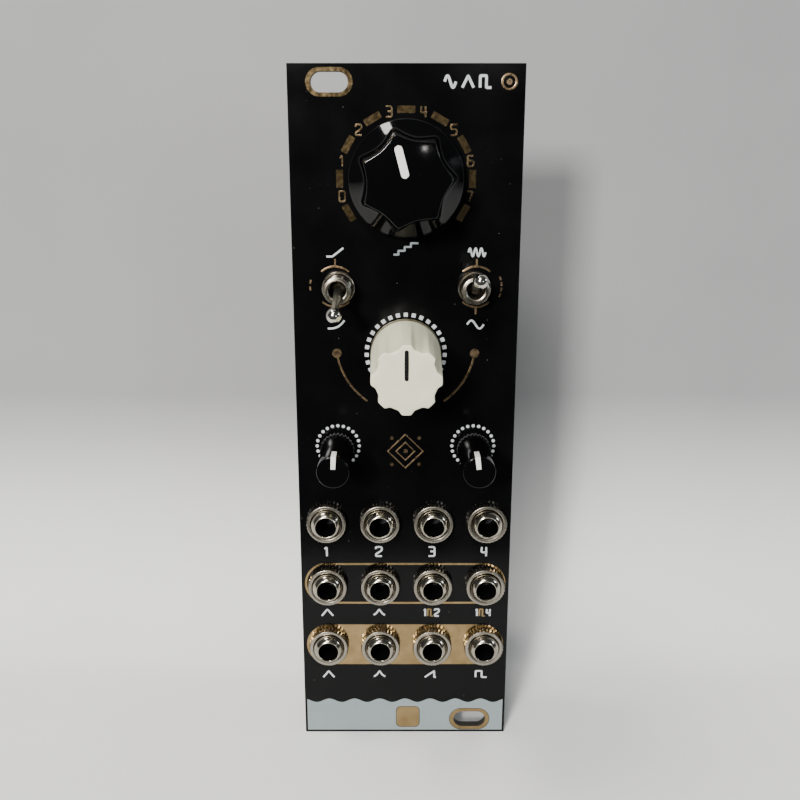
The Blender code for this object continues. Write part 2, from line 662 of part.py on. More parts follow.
def tune_knob_shape():
    rim_top = TUNE_KNOB_FOOT + TUNE_KNOB_FOOT_RIM
    bevel_foot = TUNE_KNOB_TOP - TUNE_KNOB_BEVEL
    taper = (TUNE_KNOB_FOOT_RADIUS - TUNE_KNOB_TOP_RADIUS) / (TUNE_KNOB_TOP - TUNE_KNOB_FOOT)
    middle = (rim_top + bevel_foot) / 2
    middle_radius = TUNE_KNOB_FOOT_RADIUS - taper * (middle - TUNE_KNOB_FOOT)
    body = lofted(
        [
            (TUNE_KNOB_FOOT, lobed(TUNE_KNOB_FOOT_RADIUS, 0)),
            (rim_top, lobed(TUNE_KNOB_FOOT_RADIUS - taper * TUNE_KNOB_FOOT_RIM, 0)),
            (middle, lobed(middle_radius, TUNE_KNOB_SCALLOP_DEPTH / 2)),
            (bevel_foot, lobed(TUNE_KNOB_TOP_RADIUS, TUNE_KNOB_SCALLOP_DEPTH)),
            (TUNE_KNOB_TOP, lobed(TUNE_KNOB_TOP_RADIUS - TUNE_KNOB_BEVEL, TUNE_KNOB_SCALLOP_DEPTH)),
        ]
    )
    recess = rod(TUNE_KNOB_RECESS_RADIUS, TUNE_KNOB_FOOT - OVERRUN, TUNE_KNOB_RECESS_TOP, ROUND_SIDES)
    bore = TUNE_SHAFT_RADIUS + RUNNING_GAP
    socket = rod(bore, TUNE_KNOB_RECESS_TOP - OVERRUN, TUNE_SHAFT_PROUD + SEAT_GAP, ROUND_SIDES)
    tip = TUNE_KNOB_TOP_RADIUS - TUNE_POINTER_FROM_EDGE
    groove = block(
        (-TUNE_POINTER_WIDTH / 2, TUNE_KNOB_TOP - TUNE_POINTER_DEPTH, tip - TUNE_POINTER_LENGTH),
        (TUNE_POINTER_WIDTH / 2, TUNE_KNOB_TOP + OVERRUN, tip),
    )
    return cut(cut(body, recess, groove), socket)


def build_tune(looks):
    case = mesh_of("tune_pot_case", tune_case_shape(), looks["steel_case"])
    placed("tune_pot_case", case, 0, TUNE_HEIGHT)
    washer_top = SEAT_GAP + TUNE_WASHER_THICKNESS
    washer = cut(
        rod(TUNE_WASHER_RADIUS, SEAT_GAP, washer_top, FINE_SIDES),
        rod(TUNE_BUSHING_RADIUS + THREAD_GAP, SEAT_GAP - OVERRUN, washer_top + OVERRUN, ROUND_SIDES),
    )
    placed("tune_pot_washer", mesh_of("tune_pot_washer", washer, looks["nickel"]), 0, TUNE_HEIGHT)
    nut = hex_nut_shape(TUNE_NUT_FLATS, TUNE_BUSHING_RADIUS, washer_top + SEAT_GAP, TUNE_NUT_THICKNESS)
    placed("tune_pot_nut", mesh_of("tune_pot_nut", nut, looks["nickel"]), 0, TUNE_HEIGHT)
    axis = pivot("tune_axis", 0, TUNE_HEIGHT)
    shaft = rod(TUNE_SHAFT_RADIUS, -TUNE_SHAFT_DEPTH, TUNE_SHAFT_PROUD, ROUND_SIDES)
    placed("tune_pot_shaft", mesh_of("tune_pot_shaft", shaft, looks["shaft_metal"]), parent=axis)
    placed("tune_knob", mesh_of("tune_knob", tune_knob_shape(), looks["cream"]), parent=axis)


def small_case_shape():
    case = plate(SMALL_CASE_SIDE, SMALL_CASE_SIDE, CASE_BACK, CASE_FRONT)
    boss = rod(SMALL_BOSS_RADIUS, CASE_FRONT - OVERRUN, 0, SMALL_SIDES)
    bore = rod(SMALL_SHAFT_RADIUS + RUNNING_GAP, -SMALL_SHAFT_DEPTH - SEAT_GAP, OVERRUN, SMALL_SIDES)
    return cut(joined(case, boss), bore)


def small_knob_shape():
    """A slim knob on a wider base, grooved for the pointer that runs over its edge and down the side."""
    edge = SMALL_KNOB_RADIUS - SMALL_KNOB_BEVEL
    body = turned(
        [
            (0, SMALL_KNOB_FOOT),
            (SMALL_KNOB_BASE_RADIUS, SMALL_KNOB_FOOT),
            (SMALL_KNOB_BASE_RADIUS, SMALL_KNOB_BASE_TOP),
            (SMALL_KNOB_RADIUS, SMALL_KNOB_BASE_TOP + SMALL_KNOB_BEVEL),
            (SMALL_KNOB_RADIUS, SMALL_KNOB_TOP - SMALL_KNOB_BEVEL),
            (edge, SMALL_KNOB_TOP),
            (0, SMALL_KNOB_TOP),
        ],
        FINE_SIDES,
    )
    bore = SMALL_SHAFT_RADIUS + RUNNING_GAP
    socket = rod(bore, SMALL_KNOB_FOOT - OVERRUN, SMALL_SHAFT_PROUD + SEAT_GAP, SMALL_SIDES)
    half = SMALL_POINTER_WIDTH / 2
    outside = SMALL_KNOB_RADIUS + OVERRUN
    across = block(
        (-half, SMALL_KNOB_TOP - SMALL_POINTER_DEPTH, SMALL_POINTER_FROM_AXIS),
        (half, SMALL_KNOB_TOP + OVERRUN, outside),
    )
    down = block(
        (-half, SMALL_KNOB_TOP - SMALL_POINTER_DOWN, SMALL_KNOB_RADIUS - SMALL_POINTER_DEPTH),
        (half, SMALL_KNOB_TOP + OVERRUN, outside),
    )
    return cut(cut(body, socket), joined(across, down))


def build_small(looks):
    case = mesh_of("small_pot_case", small_case_shape(), looks["black_case"])
    shaft_shape = rod(SMALL_SHAFT_RADIUS, -SMALL_SHAFT_DEPTH, SMALL_SHAFT_PROUD, SMALL_SIDES)
    shaft = mesh_of("small_pot_shaft", shaft_shape, looks["shaft_metal"])
    knob = mesh_of("small_knob", small_knob_shape(), looks["gloss_black"])
    sides = (("left", -SMALL_COLUMN, SMALL_LEFT_REST), ("right", SMALL_COLUMN, SMALL_RIGHT_REST))
    for side, x, rest in sides:
        placed(f"{side}_small_pot_case", case, x, SMALL_HEIGHT)
        axis = pivot(f"{side}_small_axis", x, SMALL_HEIGHT, turn=(0, rest, 0))
        placed(f"{side}_small_pot_shaft", shaft, parent=axis)
        placed(f"{side}_small_knob", knob, parent=axis)


# Toggle switches

def toggle_bushing_shape():
    """The threaded bushing with its square flange, bored as a throat that widens towards its mouth."""
    back = CASE_FRONT - TOGGLE_FLANGE_THICKNESS
    flange = plate(TOGGLE_CASE_WIDTH, TOGGLE_CASE_HEIGHT, back, CASE_FRONT)
    rim = TOGGLE_BUSHING_RADIUS - TOGGLE_BUSHING_CHAMFER
    middle = CASE_FRONT - TOGGLE_FLANGE_THICKNESS / 2
    tube = turned(
        [
            (0, middle),
            (TOGGLE_BUSHING_RADIUS, middle),
            (TOGGLE_BUSHING_RADIUS, TOGGLE_BUSHING_PROUD - TOGGLE_BUSHING_CHAMFER),
            (rim, TOGGLE_BUSHING_PROUD),
            (0, TOGGLE_BUSHING_PROUD),
        ],
        ROUND_SIDES,
    )
    widening = (TOGGLE_MOUTH_RADIUS - TOGGLE_THROAT_RADIUS) / (TOGGLE_BUSHING_PROUD - TOGGLE_PIVOT_OUT)
    past_mouth = TOGGLE_MOUTH_RADIUS + widening * OVERRUN
    bore = turned(
        [
            (0, back - OVERRUN),
            (TOGGLE_TAIL_BORE_RADIUS, back - OVERRUN),
            (TOGGLE_TAIL_BORE_RADIUS, back),
            (TOGGLE_THROAT_RADIUS, TOGGLE_PIVOT_OUT),
            (past_mouth, TOGGLE_BUSHING_PROUD + OVERRUN),
            (0, TOGGLE_BUSHING_PROUD + OVERRUN),
        ],
        ROUND_SIDES,
    )
    return cut(joined(flange, tube), bore)


def toggle_case_shape():
    front = CASE_FRONT - TOGGLE_FLANGE_THICKNESS - SEAT_GAP
    case = plate(TOGGLE_CASE_WIDTH, TOGGLE_CASE_HEIGHT, CASE_BACK, front)
    cavity = plate(TOGGLE_CAVITY_WIDTH, TOGGLE_CAVITY_HEIGHT, front - TOGGLE_CAVITY_DEPTH, front + OVERRUN)
    return cut(case, cavity)


def ball_profile(radius, centre, neck):
    """Points round a ball, from the neck below it to the neck above it."""
    start = asin(neck / radius)
    turns = [start + i * (pi - 2 * start) / BALL_STEPS for i in range(BALL_STEPS + 1)]
    return [(radius * sin(turn), centre - radius * cos(turn)) for turn in turns]


def toggle_lever_shape():
    """The lever about its pivot: a tail inside the case, the pivot ball, the stem and the tip's ball."""
    tip = ball_profile(TOGGLE_TIP_BALL, TOGGLE_LEVER_LENGTH, TOGGLE_STEM_RADIUS)
    profile = [(0, -TOGGLE_TAIL_LENGTH), (TOGGLE_STEM_RADIUS, -TOGGLE_TAIL_LENGTH)]
    profile += ball_profile(TOGGLE_PIVOT_BALL, 0, TOGGLE_STEM_RADIUS)
    profile += tip[:-1] + [(0, TOGGLE_LEVER_LENGTH + TOGGLE_TIP_BALL)]
    return turned(profile, SMALL_SIDES)


def build_toggles(looks):
    bushing = mesh_of("toggle_bushing", toggle_bushing_shape(), looks["nickel"])
    case = mesh_of("toggle_case", toggle_case_shape(), looks["black_case"])
    lever = mesh_of("toggle_lever", toggle_lever_shape(), looks["nickel"])
    nut_shape = round_nut_shape(
        TOGGLE_NUT_RADIUS, TOGGLE_BUSHING_RADIUS, TOGGLE_NUT_THICKNESS, TOGGLE_NUT_CHAMFER
    )
    nut = mesh_of("toggle_nut", nut_shape, looks["nickel"])
    sides = (("left", TOGGLE_LEFT_COLUMN, TOGGLE_LEAN), ("right", TOGGLE_RIGHT_COLUMN, -TOGGLE_LEAN))
    for side, x, lean in sides:
        placed(f"{side}_toggle_bushing", bushing, x, TOGGLE_HEIGHT)
        placed(f"{side}_toggle_nut", nut, x, TOGGLE_HEIGHT)
        placed(f"{side}_toggle_case", case, x, TOGGLE_HEIGHT)
        placed(f"{side}_toggle_lever", lever, x, TOGGLE_HEIGHT, TOGGLE_PIVOT_OUT, (lean, 0, 0))


# Boards and what joins them

def board_shape(front, back):
    sheet = block((-BOARD_WIDTH / 2, back, BOARD_FOOT), (BOARD_WIDTH / 2, front, BOARD_FOOT + BOARD_HEIGHT))
    hole = moved(rod(SCREW_HOLE_RADIUS, back - OVERRUN, front + OVERRUN, SMALL_SIDES), 0, PILLAR_HEIGHT)
    return cut(sheet, hole)


def screw_shape():
    """A pan head screw with a cross in its head, its point towards the panel, its head's seat at out 0."""
    head_edge = -SCREW_HEAD_HEIGHT + SCREW_HEAD_EDGE
    body = turned(
        [
            (0, -SCREW_HEAD_HEIGHT),
            (SCREW_HEAD_RADIUS - SCREW_HEAD_EDGE, -SCREW_HEAD_HEIGHT),
            (SCREW_HEAD_RADIUS, head_edge),
            (SCREW_HEAD_RADIUS, 0),
            (SCREW_RADIUS, 0),
            (SCREW_RADIUS, SCREW_LENGTH),
            (0, SCREW_LENGTH),
        ],
        SMALL_SIDES,
    )
    low, high = -SCREW_HEAD_HEIGHT - OVERRUN, -SCREW_HEAD_HEIGHT + SCREW_CROSS_DEPTH
    cross = joined(
        plate(SCREW_CROSS_LENGTH, SCREW_CROSS_WIDTH, low, high),
        plate(SCREW_CROSS_WIDTH, SCREW_CROSS_LENGTH, low, high),
    )
    return cut(body, cross)


def pin_places(count):
    return [(i - (count - 1) / 2) * PIN_PITCH for i in range(count)]


def build_boards(looks):
    control = board_shape(CONTROL_BOARD_FRONT, CONTROL_BOARD_BACK)
    placed("control_board", mesh_of("control_board", control, looks["board"]))
    circuit = board_shape(CIRCUIT_BOARD_FRONT, CIRCUIT_BOARD_BACK)
    placed("circuit_board", mesh_of("circuit_board", circuit, looks["board"]))

    front, back = CONTROL_BOARD_BACK - SEAT_GAP, CIRCUIT_BOARD_FRONT + SEAT_GAP
    spigot = rod(SCREW_HOLE_RADIUS - THREAD_GAP, front - OVERRUN, CONTROL_BOARD_FRONT, SMALL_SIDES)
    bore = rod(PILLAR_BORE_RADIUS, back - OVERRUN, back + PILLAR_BORE_DEPTH, SMALL_SIDES)
    pillar = cut(joined(prism(hexagon(PILLAR_FLATS), back, front), spigot), bore)
    placed("board_pillar", mesh_of("board_pillar", pillar, looks["nickel"]), 0, PILLAR_HEIGHT)
    screw = mesh_of("pillar_screw", screw_shape(), looks["nickel"])
    placed("pillar_screw", screw, 0, PILLAR_HEIGHT, BACK_SEAT)

    length = PIN_COUNT * PIN_PITCH
    strip_back = front - STRIP_THICKNESS
    pins = [
        plate(PIN_SIDE, PIN_SIDE, strip_back - STRIP_PIN_LENGTH, strip_back + STRIP_THICKNESS / 2, (0, z))
        for z in pin_places(PIN_COUNT)
    ]
    strip_shape = joined(plate(STRIP_WIDTH, length, strip_back, front), *pins)
    strip = mesh_of("board_pin_strip", strip_shape, looks["black_case"])
    placed("board_pin_strip", strip, STRIP_COLUMN, STRIP_HEIGHT)
    socket_front = strip_back - SEAT_GAP
    holes = [
        plate(SOCKET_HOLE_SIDE, SOCKET_HOLE_SIDE, back + SOCKET_FLOOR, socket_front + OVERRUN, (0, z))
        for z in pin_places(PIN_COUNT)
    ]
    socket_shape = cut(plate(STRIP_WIDTH, length, back, socket_front), *holes)
    socket = mesh_of("board_socket", socket_shape, looks["black_case"])
    placed("board_socket", socket, STRIP_COLUMN, STRIP_HEIGHT)


# What stands on the circuit board's back

def power_header_shape():
    """An open box with a key slot in its upper wall, and two rows of pins on its floor."""
    mouth = BACK_SEAT - POWER_DEPTH
    floor_out = BACK_SEAT - POWER_FLOOR
    box = plate(POWER_LENGTH, POWER_WIDTH, mouth, BACK_SEAT)
    hollow = plate(POWER_LENGTH - 2 * POWER_WALL, POWER_WIDTH - 2 * POWER_WALL, mouth - OVERRUN, floor_out)
    key = block(
        (-POWER_KEY_WIDTH / 2, mouth - OVERRUN, 0),
        (POWER_KEY_WIDTH / 2, floor_out, POWER_WIDTH / 2 + OVERRUN),
    )
    pins = [
        plate(PIN_SIDE, PIN_SIDE, floor_out - POWER_PIN_LENGTH, floor_out + POWER_FLOOR / 2, (x, z))
        for x in pin_places(POWER_COLUMN_COUNT)
        for z in pin_places(POWER_ROW_COUNT)
    ]
    return joined(cut(box, joined(hollow, key)), *pins)


def capacitor_shape():
    end = BACK_SEAT - CAPACITOR_LENGTH
    neck = BACK_SEAT - CAPACITOR_BASE_LENGTH
    return turned(
        [
            (0, end),
            (CAPACITOR_RADIUS - CAPACITOR_EDGE, end),
            (CAPACITOR_RADIUS, end + CAPACITOR_EDGE),
            (CAPACITOR_RADIUS, neck - CAPACITOR_NECK),
            (CAPACITOR_RADIUS - CAPACITOR_NECK, neck),
            (CAPACITOR_RADIUS, neck + CAPACITOR_NECK),
            (CAPACITOR_RADIUS, BACK_SEAT),
            (0, BACK_SEAT),
        ],
        ROUND_SIDES,
    )


def trimmer_case_shape():
    back = BACK_SEAT - TRIMMER_DEPTH
    return cut(
        plate(TRIMMER_SIDE, TRIMMER_SIDE, back, BACK_SEAT),
        rod(TRIMMER_WELL_RADIUS, back - OVERRUN, back + TRIMMER_WELL_DEPTH, ROUND_SIDES),
    )


def trimmer_rotor_shape():
    """A disc with a screwdriver slot, its inner face at out 0."""
    end = -TRIMMER_ROTOR_THICKNESS
    slot = plate(2 * TRIMMER_WELL_RADIUS, TRIMMER_SLOT_WIDTH, end - OVERRUN, end + TRIMMER_SLOT_DEPTH)
    return cut(rod(TRIMMER_ROTOR_RADIUS, end, 0, ROUND_SIDES), slot)


def build_back(looks):
    header = mesh_of("power_header", power_header_shape(), looks["black_case"])
    placed("power_header", header, 0, POWER_HEIGHT)
    core = plate(CORE_CHIP_SIDE, CORE_CHIP_SIDE, BACK_SEAT - CORE_CHIP_THICKNESS, BACK_SEAT)
    placed("core_chip", mesh_of("core_chip", core, looks["black_case"]), *CORE_CHIP_PLACE)
    capacitor = mesh_of("filter_capacitor", capacitor_shape(), looks["steel_case"])
    placed("left_filter_capacitor", capacitor, -CAPACITOR_COLUMN, CAPACITOR_HEIGHT)
    placed("right_filter_capacitor", capacitor, CAPACITOR_COLUMN, CAPACITOR_HEIGHT)
    case = mesh_of("trimmer_case", trimmer_case_shape(), looks["blue_case"])
    placed("trimmer_case", case, *TRIMMER_PLACE)
    rotor = mesh_of("trimmer_rotor", trimmer_rotor_shape(), looks["cream"])
    well_floor = BACK_SEAT - TRIMMER_DEPTH + TRIMMER_WELL_DEPTH
    placed("trimmer_rotor", rotor, *TRIMMER_PLACE, well_floor - SEAT_GAP)


def main():
    clear_scene()
    looks = {
        "panel": finish("panel_soldermask", (0.012, 0.012, 0.014), 0.45),
        "nickel": finish("nickel", (0.62, 0.59, 0.53), 0.22, 1.0),
        "shaft_metal": finish("shaft_metal", (0.55, 0.55, 0.56), 0.35, 1.0),
        "steel_case": finish("steel_case", (0.60, 0.60, 0.60), 0.4, 1.0),
        "gloss_black": finish("gloss_black", (0.008, 0.008, 0.009), 0.12),
        "black_case": finish("black_case", (0.02, 0.02, 0.022), 0.5),
        "cream": finish("cream", (0.75, 0.73, 0.66), 0.4),
        "board": finish("board_soldermask", (0.015, 0.015, 0.02), 0.4),
        "blue_case": finish("blue_case", (0.03, 0.12, 0.45), 0.45),
    }
    build_panel(looks)
    build_jacks(looks)
    build_octave(looks)
    build_tune(looks)
    build_small(looks)
    build_toggles(looks)
    build_boards(looks)
    build_back(looks)


main()
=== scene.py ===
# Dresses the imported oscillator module: panel, printed marks, knobs, toggles, jacks, pots and boards.
import math
import random

import bmesh
import bpy
from mathutils import Matrix, Vector


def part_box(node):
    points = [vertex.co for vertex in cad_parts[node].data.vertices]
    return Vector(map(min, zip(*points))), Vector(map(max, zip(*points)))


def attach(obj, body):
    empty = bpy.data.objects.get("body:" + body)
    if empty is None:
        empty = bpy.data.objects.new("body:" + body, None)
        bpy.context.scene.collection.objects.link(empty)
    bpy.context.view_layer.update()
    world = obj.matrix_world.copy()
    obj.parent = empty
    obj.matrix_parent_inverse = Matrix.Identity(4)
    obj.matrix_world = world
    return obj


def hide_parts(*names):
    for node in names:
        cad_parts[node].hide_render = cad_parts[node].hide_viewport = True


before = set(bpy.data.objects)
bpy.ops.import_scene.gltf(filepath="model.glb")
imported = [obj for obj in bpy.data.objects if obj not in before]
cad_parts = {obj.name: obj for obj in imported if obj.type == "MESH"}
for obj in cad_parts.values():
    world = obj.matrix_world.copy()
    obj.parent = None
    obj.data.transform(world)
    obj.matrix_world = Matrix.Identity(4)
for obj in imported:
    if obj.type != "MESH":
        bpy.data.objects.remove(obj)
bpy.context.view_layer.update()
print("frame loaded:", len(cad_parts), "nodes")

mm = 0.001
past = 1 * mm  # how far a cutter reaches beyond what it cuts
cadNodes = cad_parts
panelLow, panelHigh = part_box("front_panel")
frontFace = panelLow.y
panelBack = panelHigh.y
jackNames = [f"r{row}_c{column}" for row in (1, 2, 3) for column in (1, 2, 3, 4)]
dice = random.Random(7)  # the same small parts each run


def middle(node):
    low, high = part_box(node)
    return (low + high) / 2


# Materials

def startMaterial(name, colour, roughness, metallic=0.0):
    material = bpy.data.materials.new(name)
    material.use_nodes = True
    tree = material.node_tree
    shader = tree.nodes["Principled BSDF"]
    shader.inputs["Base Color"].default_value = (*colour, 1)
    shader.inputs["Roughness"].default_value = roughness
    shader.inputs["Metallic"].default_value = metallic
    place = tree.nodes.new("ShaderNodeTexCoord").outputs["Object"]
    return material, tree, shader, place


def nodeOf(tree, kind, inputs, **settings):
    # makes a node; its inputs are given as numbers, colours or sockets
    made = tree.nodes.new(f"ShaderNode{kind}")
    for name, value in settings.items():
        setattr(made, name, value)
    for name, value in inputs.items():
        if isinstance(value, bpy.types.NodeSocket):
            tree.links.new(value, made.inputs[name])
        else:
            made.inputs[name].default_value = value
    return made.outputs


def noiseOf(tree, place, size, detail=3.0, stretch=None):
    # size is the width of one blotch in mm; stretch scales the pattern along X, Y and Z
    if stretch:
        place = nodeOf(tree, "Mapping", {"Vector": place, "Scale": stretch})["Vector"]
    return nodeOf(tree, "TexNoise", {"Vector": place, "Scale": 1 / (size * mm), "Detail": detail})["Fac"]


def spread(tree, value, low, high, start=0.3, end=0.7):
    # maps a pattern from start..end to low..high
    ends = {"From Min": start, "From Max": end, "To Min": low, "To Max": high}
    return nodeOf(tree, "MapRange", {"Value": value, **ends})["Result"]


def blendOf(tree, factor, *ends):
    # the two ends are colours or sockets
    first, second = ((*end, 1) if isinstance(end, tuple) else end for end in ends)
    return nodeOf(tree, "Mix", {"Factor": factor, "A": first, "B": second}, data_type="RGBA")["Result"]


def bumpOf(tree, shader, height, strength, depth):
    bump = nodeOf(tree, "Bump", {"Height": height, "Strength": strength, "Distance": depth * mm})
    tree.links.new(bump["Normal"], shader.inputs["Normal"])


def specksOf(tree, place, cell, radiusShare, rarity):
    # a few small dots, about one in each lucky cell
    cells = nodeOf(tree, "TexVoronoi", {"Vector": place, "Scale": 1 / (cell * mm)})
    near = spread(tree, cells["Distance"], 1, 0, radiusShare * 0.5, radiusShare)
    pick = nodeOf(tree, "SeparateColor", {"Color": cells["Color"]})
    lucky = spread(tree, pick["Red"], 0, 1, rarity, rarity + 0.02)
    return nodeOf(tree, "Math", {0: near, 1: lucky}, operation="MULTIPLY")["Value"]


def coated(name, low, high, cloud, roughness, bump, metallic=0.0, specular=0.5, dust=None, stretch=None):
    # the colour goes from low to high over a cloud of (width in mm, detail), or stays low where high is None;
    # roughness is one number, or low and high over the cloud or over a noise of its own;
    # bump is (width, detail, strength, depth); dust is (colour, cell, radius share, rarity)
    single = not isinstance(roughness, tuple)
    start = roughness if single else roughness[0]
    material, tree, shader, place = startMaterial(name, high or low, start, metallic)
    pattern = noiseOf(tree, place, *cloud, stretch)
    base = blendOf(tree, spread(tree, pattern, 0, 1), low, high) if high else low
    if dust:
        base = blendOf(tree, specksOf(tree, place, *dust[1:]), base, dust[0])
    tree.links.new(base, shader.inputs["Base Color"])
    if not single:
        shine = noiseOf(tree, place, *roughness[2:]) if len(roughness) > 2 else pattern
        tree.links.new(spread(tree, shine, *roughness[:2]), shader.inputs["Roughness"])
    shader.inputs["Specular IOR Level"].default_value = specular
    bumpOf(tree, shader, noiseOf(tree, place, *bump[:2], stretch), *bump[2:])
    return material


def maskFinish(name, colour, worn):
    dust = ((0.16, 0.15, 0.14), 1.5, 0.055, 0.72)
    return coated(name, colour, worn, (9, 4), (0.12, 0.18), (0.35, 2, 0.10, 0.02), specular=0.13, dust=dust)


def goldFinish(name, bright, dull, roughness):
    shine = (roughness * 0.72, roughness * 1.28, 0.8, 3)
    return coated(name, dull, bright, (2.2, 5), shine, (0.18, 3, 0.15, 0.012), metallic=1.0)


def printFinish(name, colour, shade, specular=0.5):
    return coated(name, shade, colour, (0.6, 4), (0.45, 0.65), (0.12, 2, 0.25, 0.01), specular=specular)


def metalFinish(name, colour, shade, roughness, grain):
    # grain is the width of the fine turning or rolling marks in mm
    shine = (roughness * 0.75, roughness * 1.35, grain, 3)
    return coated(name, shade, colour, (1.8, 4), shine, (grain, 3, 0.12, 0.01), metallic=1.0)


def plasticFinish(name, colour, roughness):
    lighter = tuple(part * 1.35 + 0.002 for part in colour)
    shine = (roughness * 0.85, roughness * 1.15)
    return coated(name, colour, lighter, (2.5, 4), shine, (0.15, 2, 0.3, 0.015))


looks = {
    "soldermask": maskFinish("soldermask", (0.0016, 0.0016, 0.0019), (0.0026, 0.0026, 0.0028)),
    "boardMask": maskFinish("soldermask of the boards", (0.0065, 0.0068, 0.0075), (0.010, 0.0104, 0.011)),
    "trace": plasticFinish("soldermask over copper", (0.019, 0.0185, 0.018), 0.3),
    "edge": coated("glass fibre edge", (0.008, 0.008, 0.008), (0.030, 0.027, 0.020), (0.4, 3), 0.7,
                   (0.4, 3, 0.4, 0.05), stretch=(0.2, 3.0, 0.2)),
    "gold": goldFinish("plated gold", (0.33, 0.235, 0.12), (0.24, 0.165, 0.075), 0.17),
    "goldLine": goldFinish("plated gold lines", (0.33, 0.23, 0.13), (0.25, 0.17, 0.095), 0.30),
    # the dial's figures are the same plating as the blocks, painted darker to stand in for the dark room they
    # reflect: painted shade
    "shadedGoldFigure": goldFinish("plated gold figures with painted shade", (0.20, 0.145, 0.08), (0.15, 0.105, 0.055), 0.27),
    "tin": metalFinish("solder", (0.60, 0.60, 0.59), (0.48, 0.48, 0.47), 0.28, 0.3),
    "ceramic": plasticFinish("tan ceramic", (0.23, 0.155, 0.085), 0.5),
    "bluePlastic": plasticFinish("blue moulded plastic", (0.012, 0.045, 0.20), 0.38),
    "greyPrint": printFinish("grey marking", (0.30, 0.30, 0.30), (0.24, 0.24, 0.24)),
    "white": printFinish("white print", (0.56, 0.58, 0.59), (0.47, 0.49, 0.50)),
    "grey": printFinish("thin white print", (0.29, 0.32, 0.34), (0.24, 0.27, 0.28)),
    "pale": printFinish("pale blue print", (0.205, 0.245, 0.245), (0.185, 0.225, 0.225)),
    "pointerWhite": printFinish("white pointer paint", (0.86, 0.85, 0.80), (0.78, 0.77, 0.72)),
    "pointerBlack": printFinish("black pointer paint", (0.003, 0.003, 0.003), (0.006, 0.006, 0.006), 0.1),
    # a near black for the inside of the jacks' bores, darker than their black plastic: painted shade
    "paintedBoreShade": printFinish("painted shade in the bores", (0.002, 0.002, 0.002), (0.003, 0.003, 0.003), 0.05),
    "glossBlack": coated("gloss black plastic", (0.0014, 0.0014, 0.0016), None, (3, 5), (0.055, 0.095),
                         (1.6, 2, 0.05, 0.03), specular=0.26, dust=((0.08, 0.08, 0.08), 1.1, 0.05, 0.9)),
    "ivory": coated("ivory plastic", (0.72, 0.71, 0.50), (0.78, 0.77, 0.56), (4, 4), (0.34, 0.46),
                    (0.25, 2, 0.08, 0.02), dust=((0.45, 0.42, 0.34), 1.3, 0.045, 0.88)),
    "nickel": metalFinish("nickel plate", (0.43, 0.395, 0.325), (0.32, 0.29, 0.235), 0.17, 0.12),
    "nutNickel": metalFinish("tumbled nickel plate", (0.33, 0.30, 0.25), (0.25, 0.23, 0.19), 0.29, 0.12),
    "chrome": metalFinish("chrome plate", (0.62, 0.59, 0.53), (0.50, 0.47, 0.42), 0.15, 0.2),
    "dullNickel": metalFinish("dull nickel plate", (0.25, 0.225, 0.185), (0.17, 0.155, 0.125), 0.27, 0.12),
    "satinNickel": metalFinish("satin nickel plate", (0.46, 0.44, 0.37), (0.36, 0.35, 0.29), 0.36, 0.1),
    "steel": metalFinish("sheet steel", (0.56, 0.56, 0.55), (0.46, 0.46, 0.45), 0.34, 0.1),
    "blackPlastic": plasticFinish("black moulded plastic", (0.012, 0.012, 0.013), 0.45),
}
print("materials made:", len(looks))


# Shapes; their places and sizes are in metres where nothing else is said

def meshOf(name, shape):
    mesh = bpy.data.meshes.new(name)
    shape.to_mesh(mesh)
    shape.free()
    return mesh


def inScene(name, data):
    made = bpy.data.objects.new(name, data)
    bpy.context.scene.collection.objects.link(made)
    return made


def turned(shape, angle, axis):
    bmesh.ops.rotate(shape, cent=(0, 0, 0), matrix=Matrix.Rotation(angle, 3, axis), verts=shape.verts)
    return shape


def shifted(shape, x, z, y=0.0):
    bmesh.ops.translate(shape, vec=(x, y, z), verts=shape.verts)
    return shape


def around(x, z, radius, degrees):
    # a place on a ring, clockwise from the top
    angle = math.radians(degrees)
    return x + radius * math.sin(angle), z + radius * math.cos(angle)


def rounded(points, radius, steps=4):
    # rounds each inner corner of a line of 2-D points, within half of its shorter neighbour
    line = [Vector(point) for point in points]
    result = [line[0]]
    for before, corner, after in zip(line, line[1:], line[2:]):
        reach = min(radius, (before - corner).length * 0.48, (after - corner).length * 0.48)
        start = corner + (before - corner).normalized() * reach
        end = corner + (after - corner).normalized() * reach
        for i in range(steps + 1):
            t = i / steps
            result.append(start * (1 - t) ** 2 + corner * 2 * t * (1 - t) + end * t * t)
    result.append(line[-1])
    return [tuple(point) for point in result]


def spun(profile, steps, closeRing=False, unit=mm):
    # turns (radius, out) points about the out axis
    shape = bmesh.new()
    points = [shape.verts.new((0, -out * unit, radius * unit)) for radius, out in profile]
    ends = points[1:] + points[:1] if closeRing else points[1:]
    edges = [shape.edges.new(pair) for pair in zip(points, ends)]
    bmesh.ops.spin(
        shape, geom=points + edges, cent=(0, 0, 0), axis=(0, 1, 0), angle=2 * math.pi, steps=steps,
        use_merge=True,
    )
    bmesh.ops.remove_doubles(shape, verts=shape.verts, dist=0.0005 * mm)
    bmesh.ops.recalc_face_normals(shape, faces=shape.faces)
    return shape


def rodOf(radius, low, high, steps=40):
    # a round rod along the out axis, in metres
    return spun([(0, low), (radius, low), (radius, high), (0, high)], steps, unit=1)


def edgeArc(radius, out, bevel, steps=4):
    # the rounded rim between a face at out and a side at radius
    angles = [i / steps * math.pi / 2 for i in range(steps + 1)]
    return [(radius - bevel * (1 - math.sin(angle)), out - bevel * (1 - math.cos(angle))) for angle in angles]


def carved(shape, dipAt):
    # pulls each point inwards by dipAt(radius, out, angle), in mm
    for vert in shape.verts:
        radius = math.hypot(vert.co.x, vert.co.z) / mm
        dip = dipAt(radius, -vert.co.y / mm, math.atan2(vert.co.x, vert.co.z))
        if dip:
            vert.co.x *= 1 - dip / radius
            vert.co.z *= 1 - dip / radius
    return shape


def bevelled(shape, edges, offset, segments):
    bmesh.ops.bevel(
        shape, geom=edges, offset=offset, segments=segments, profile=0.5, affect="EDGES", material=-1
    )
    return shape


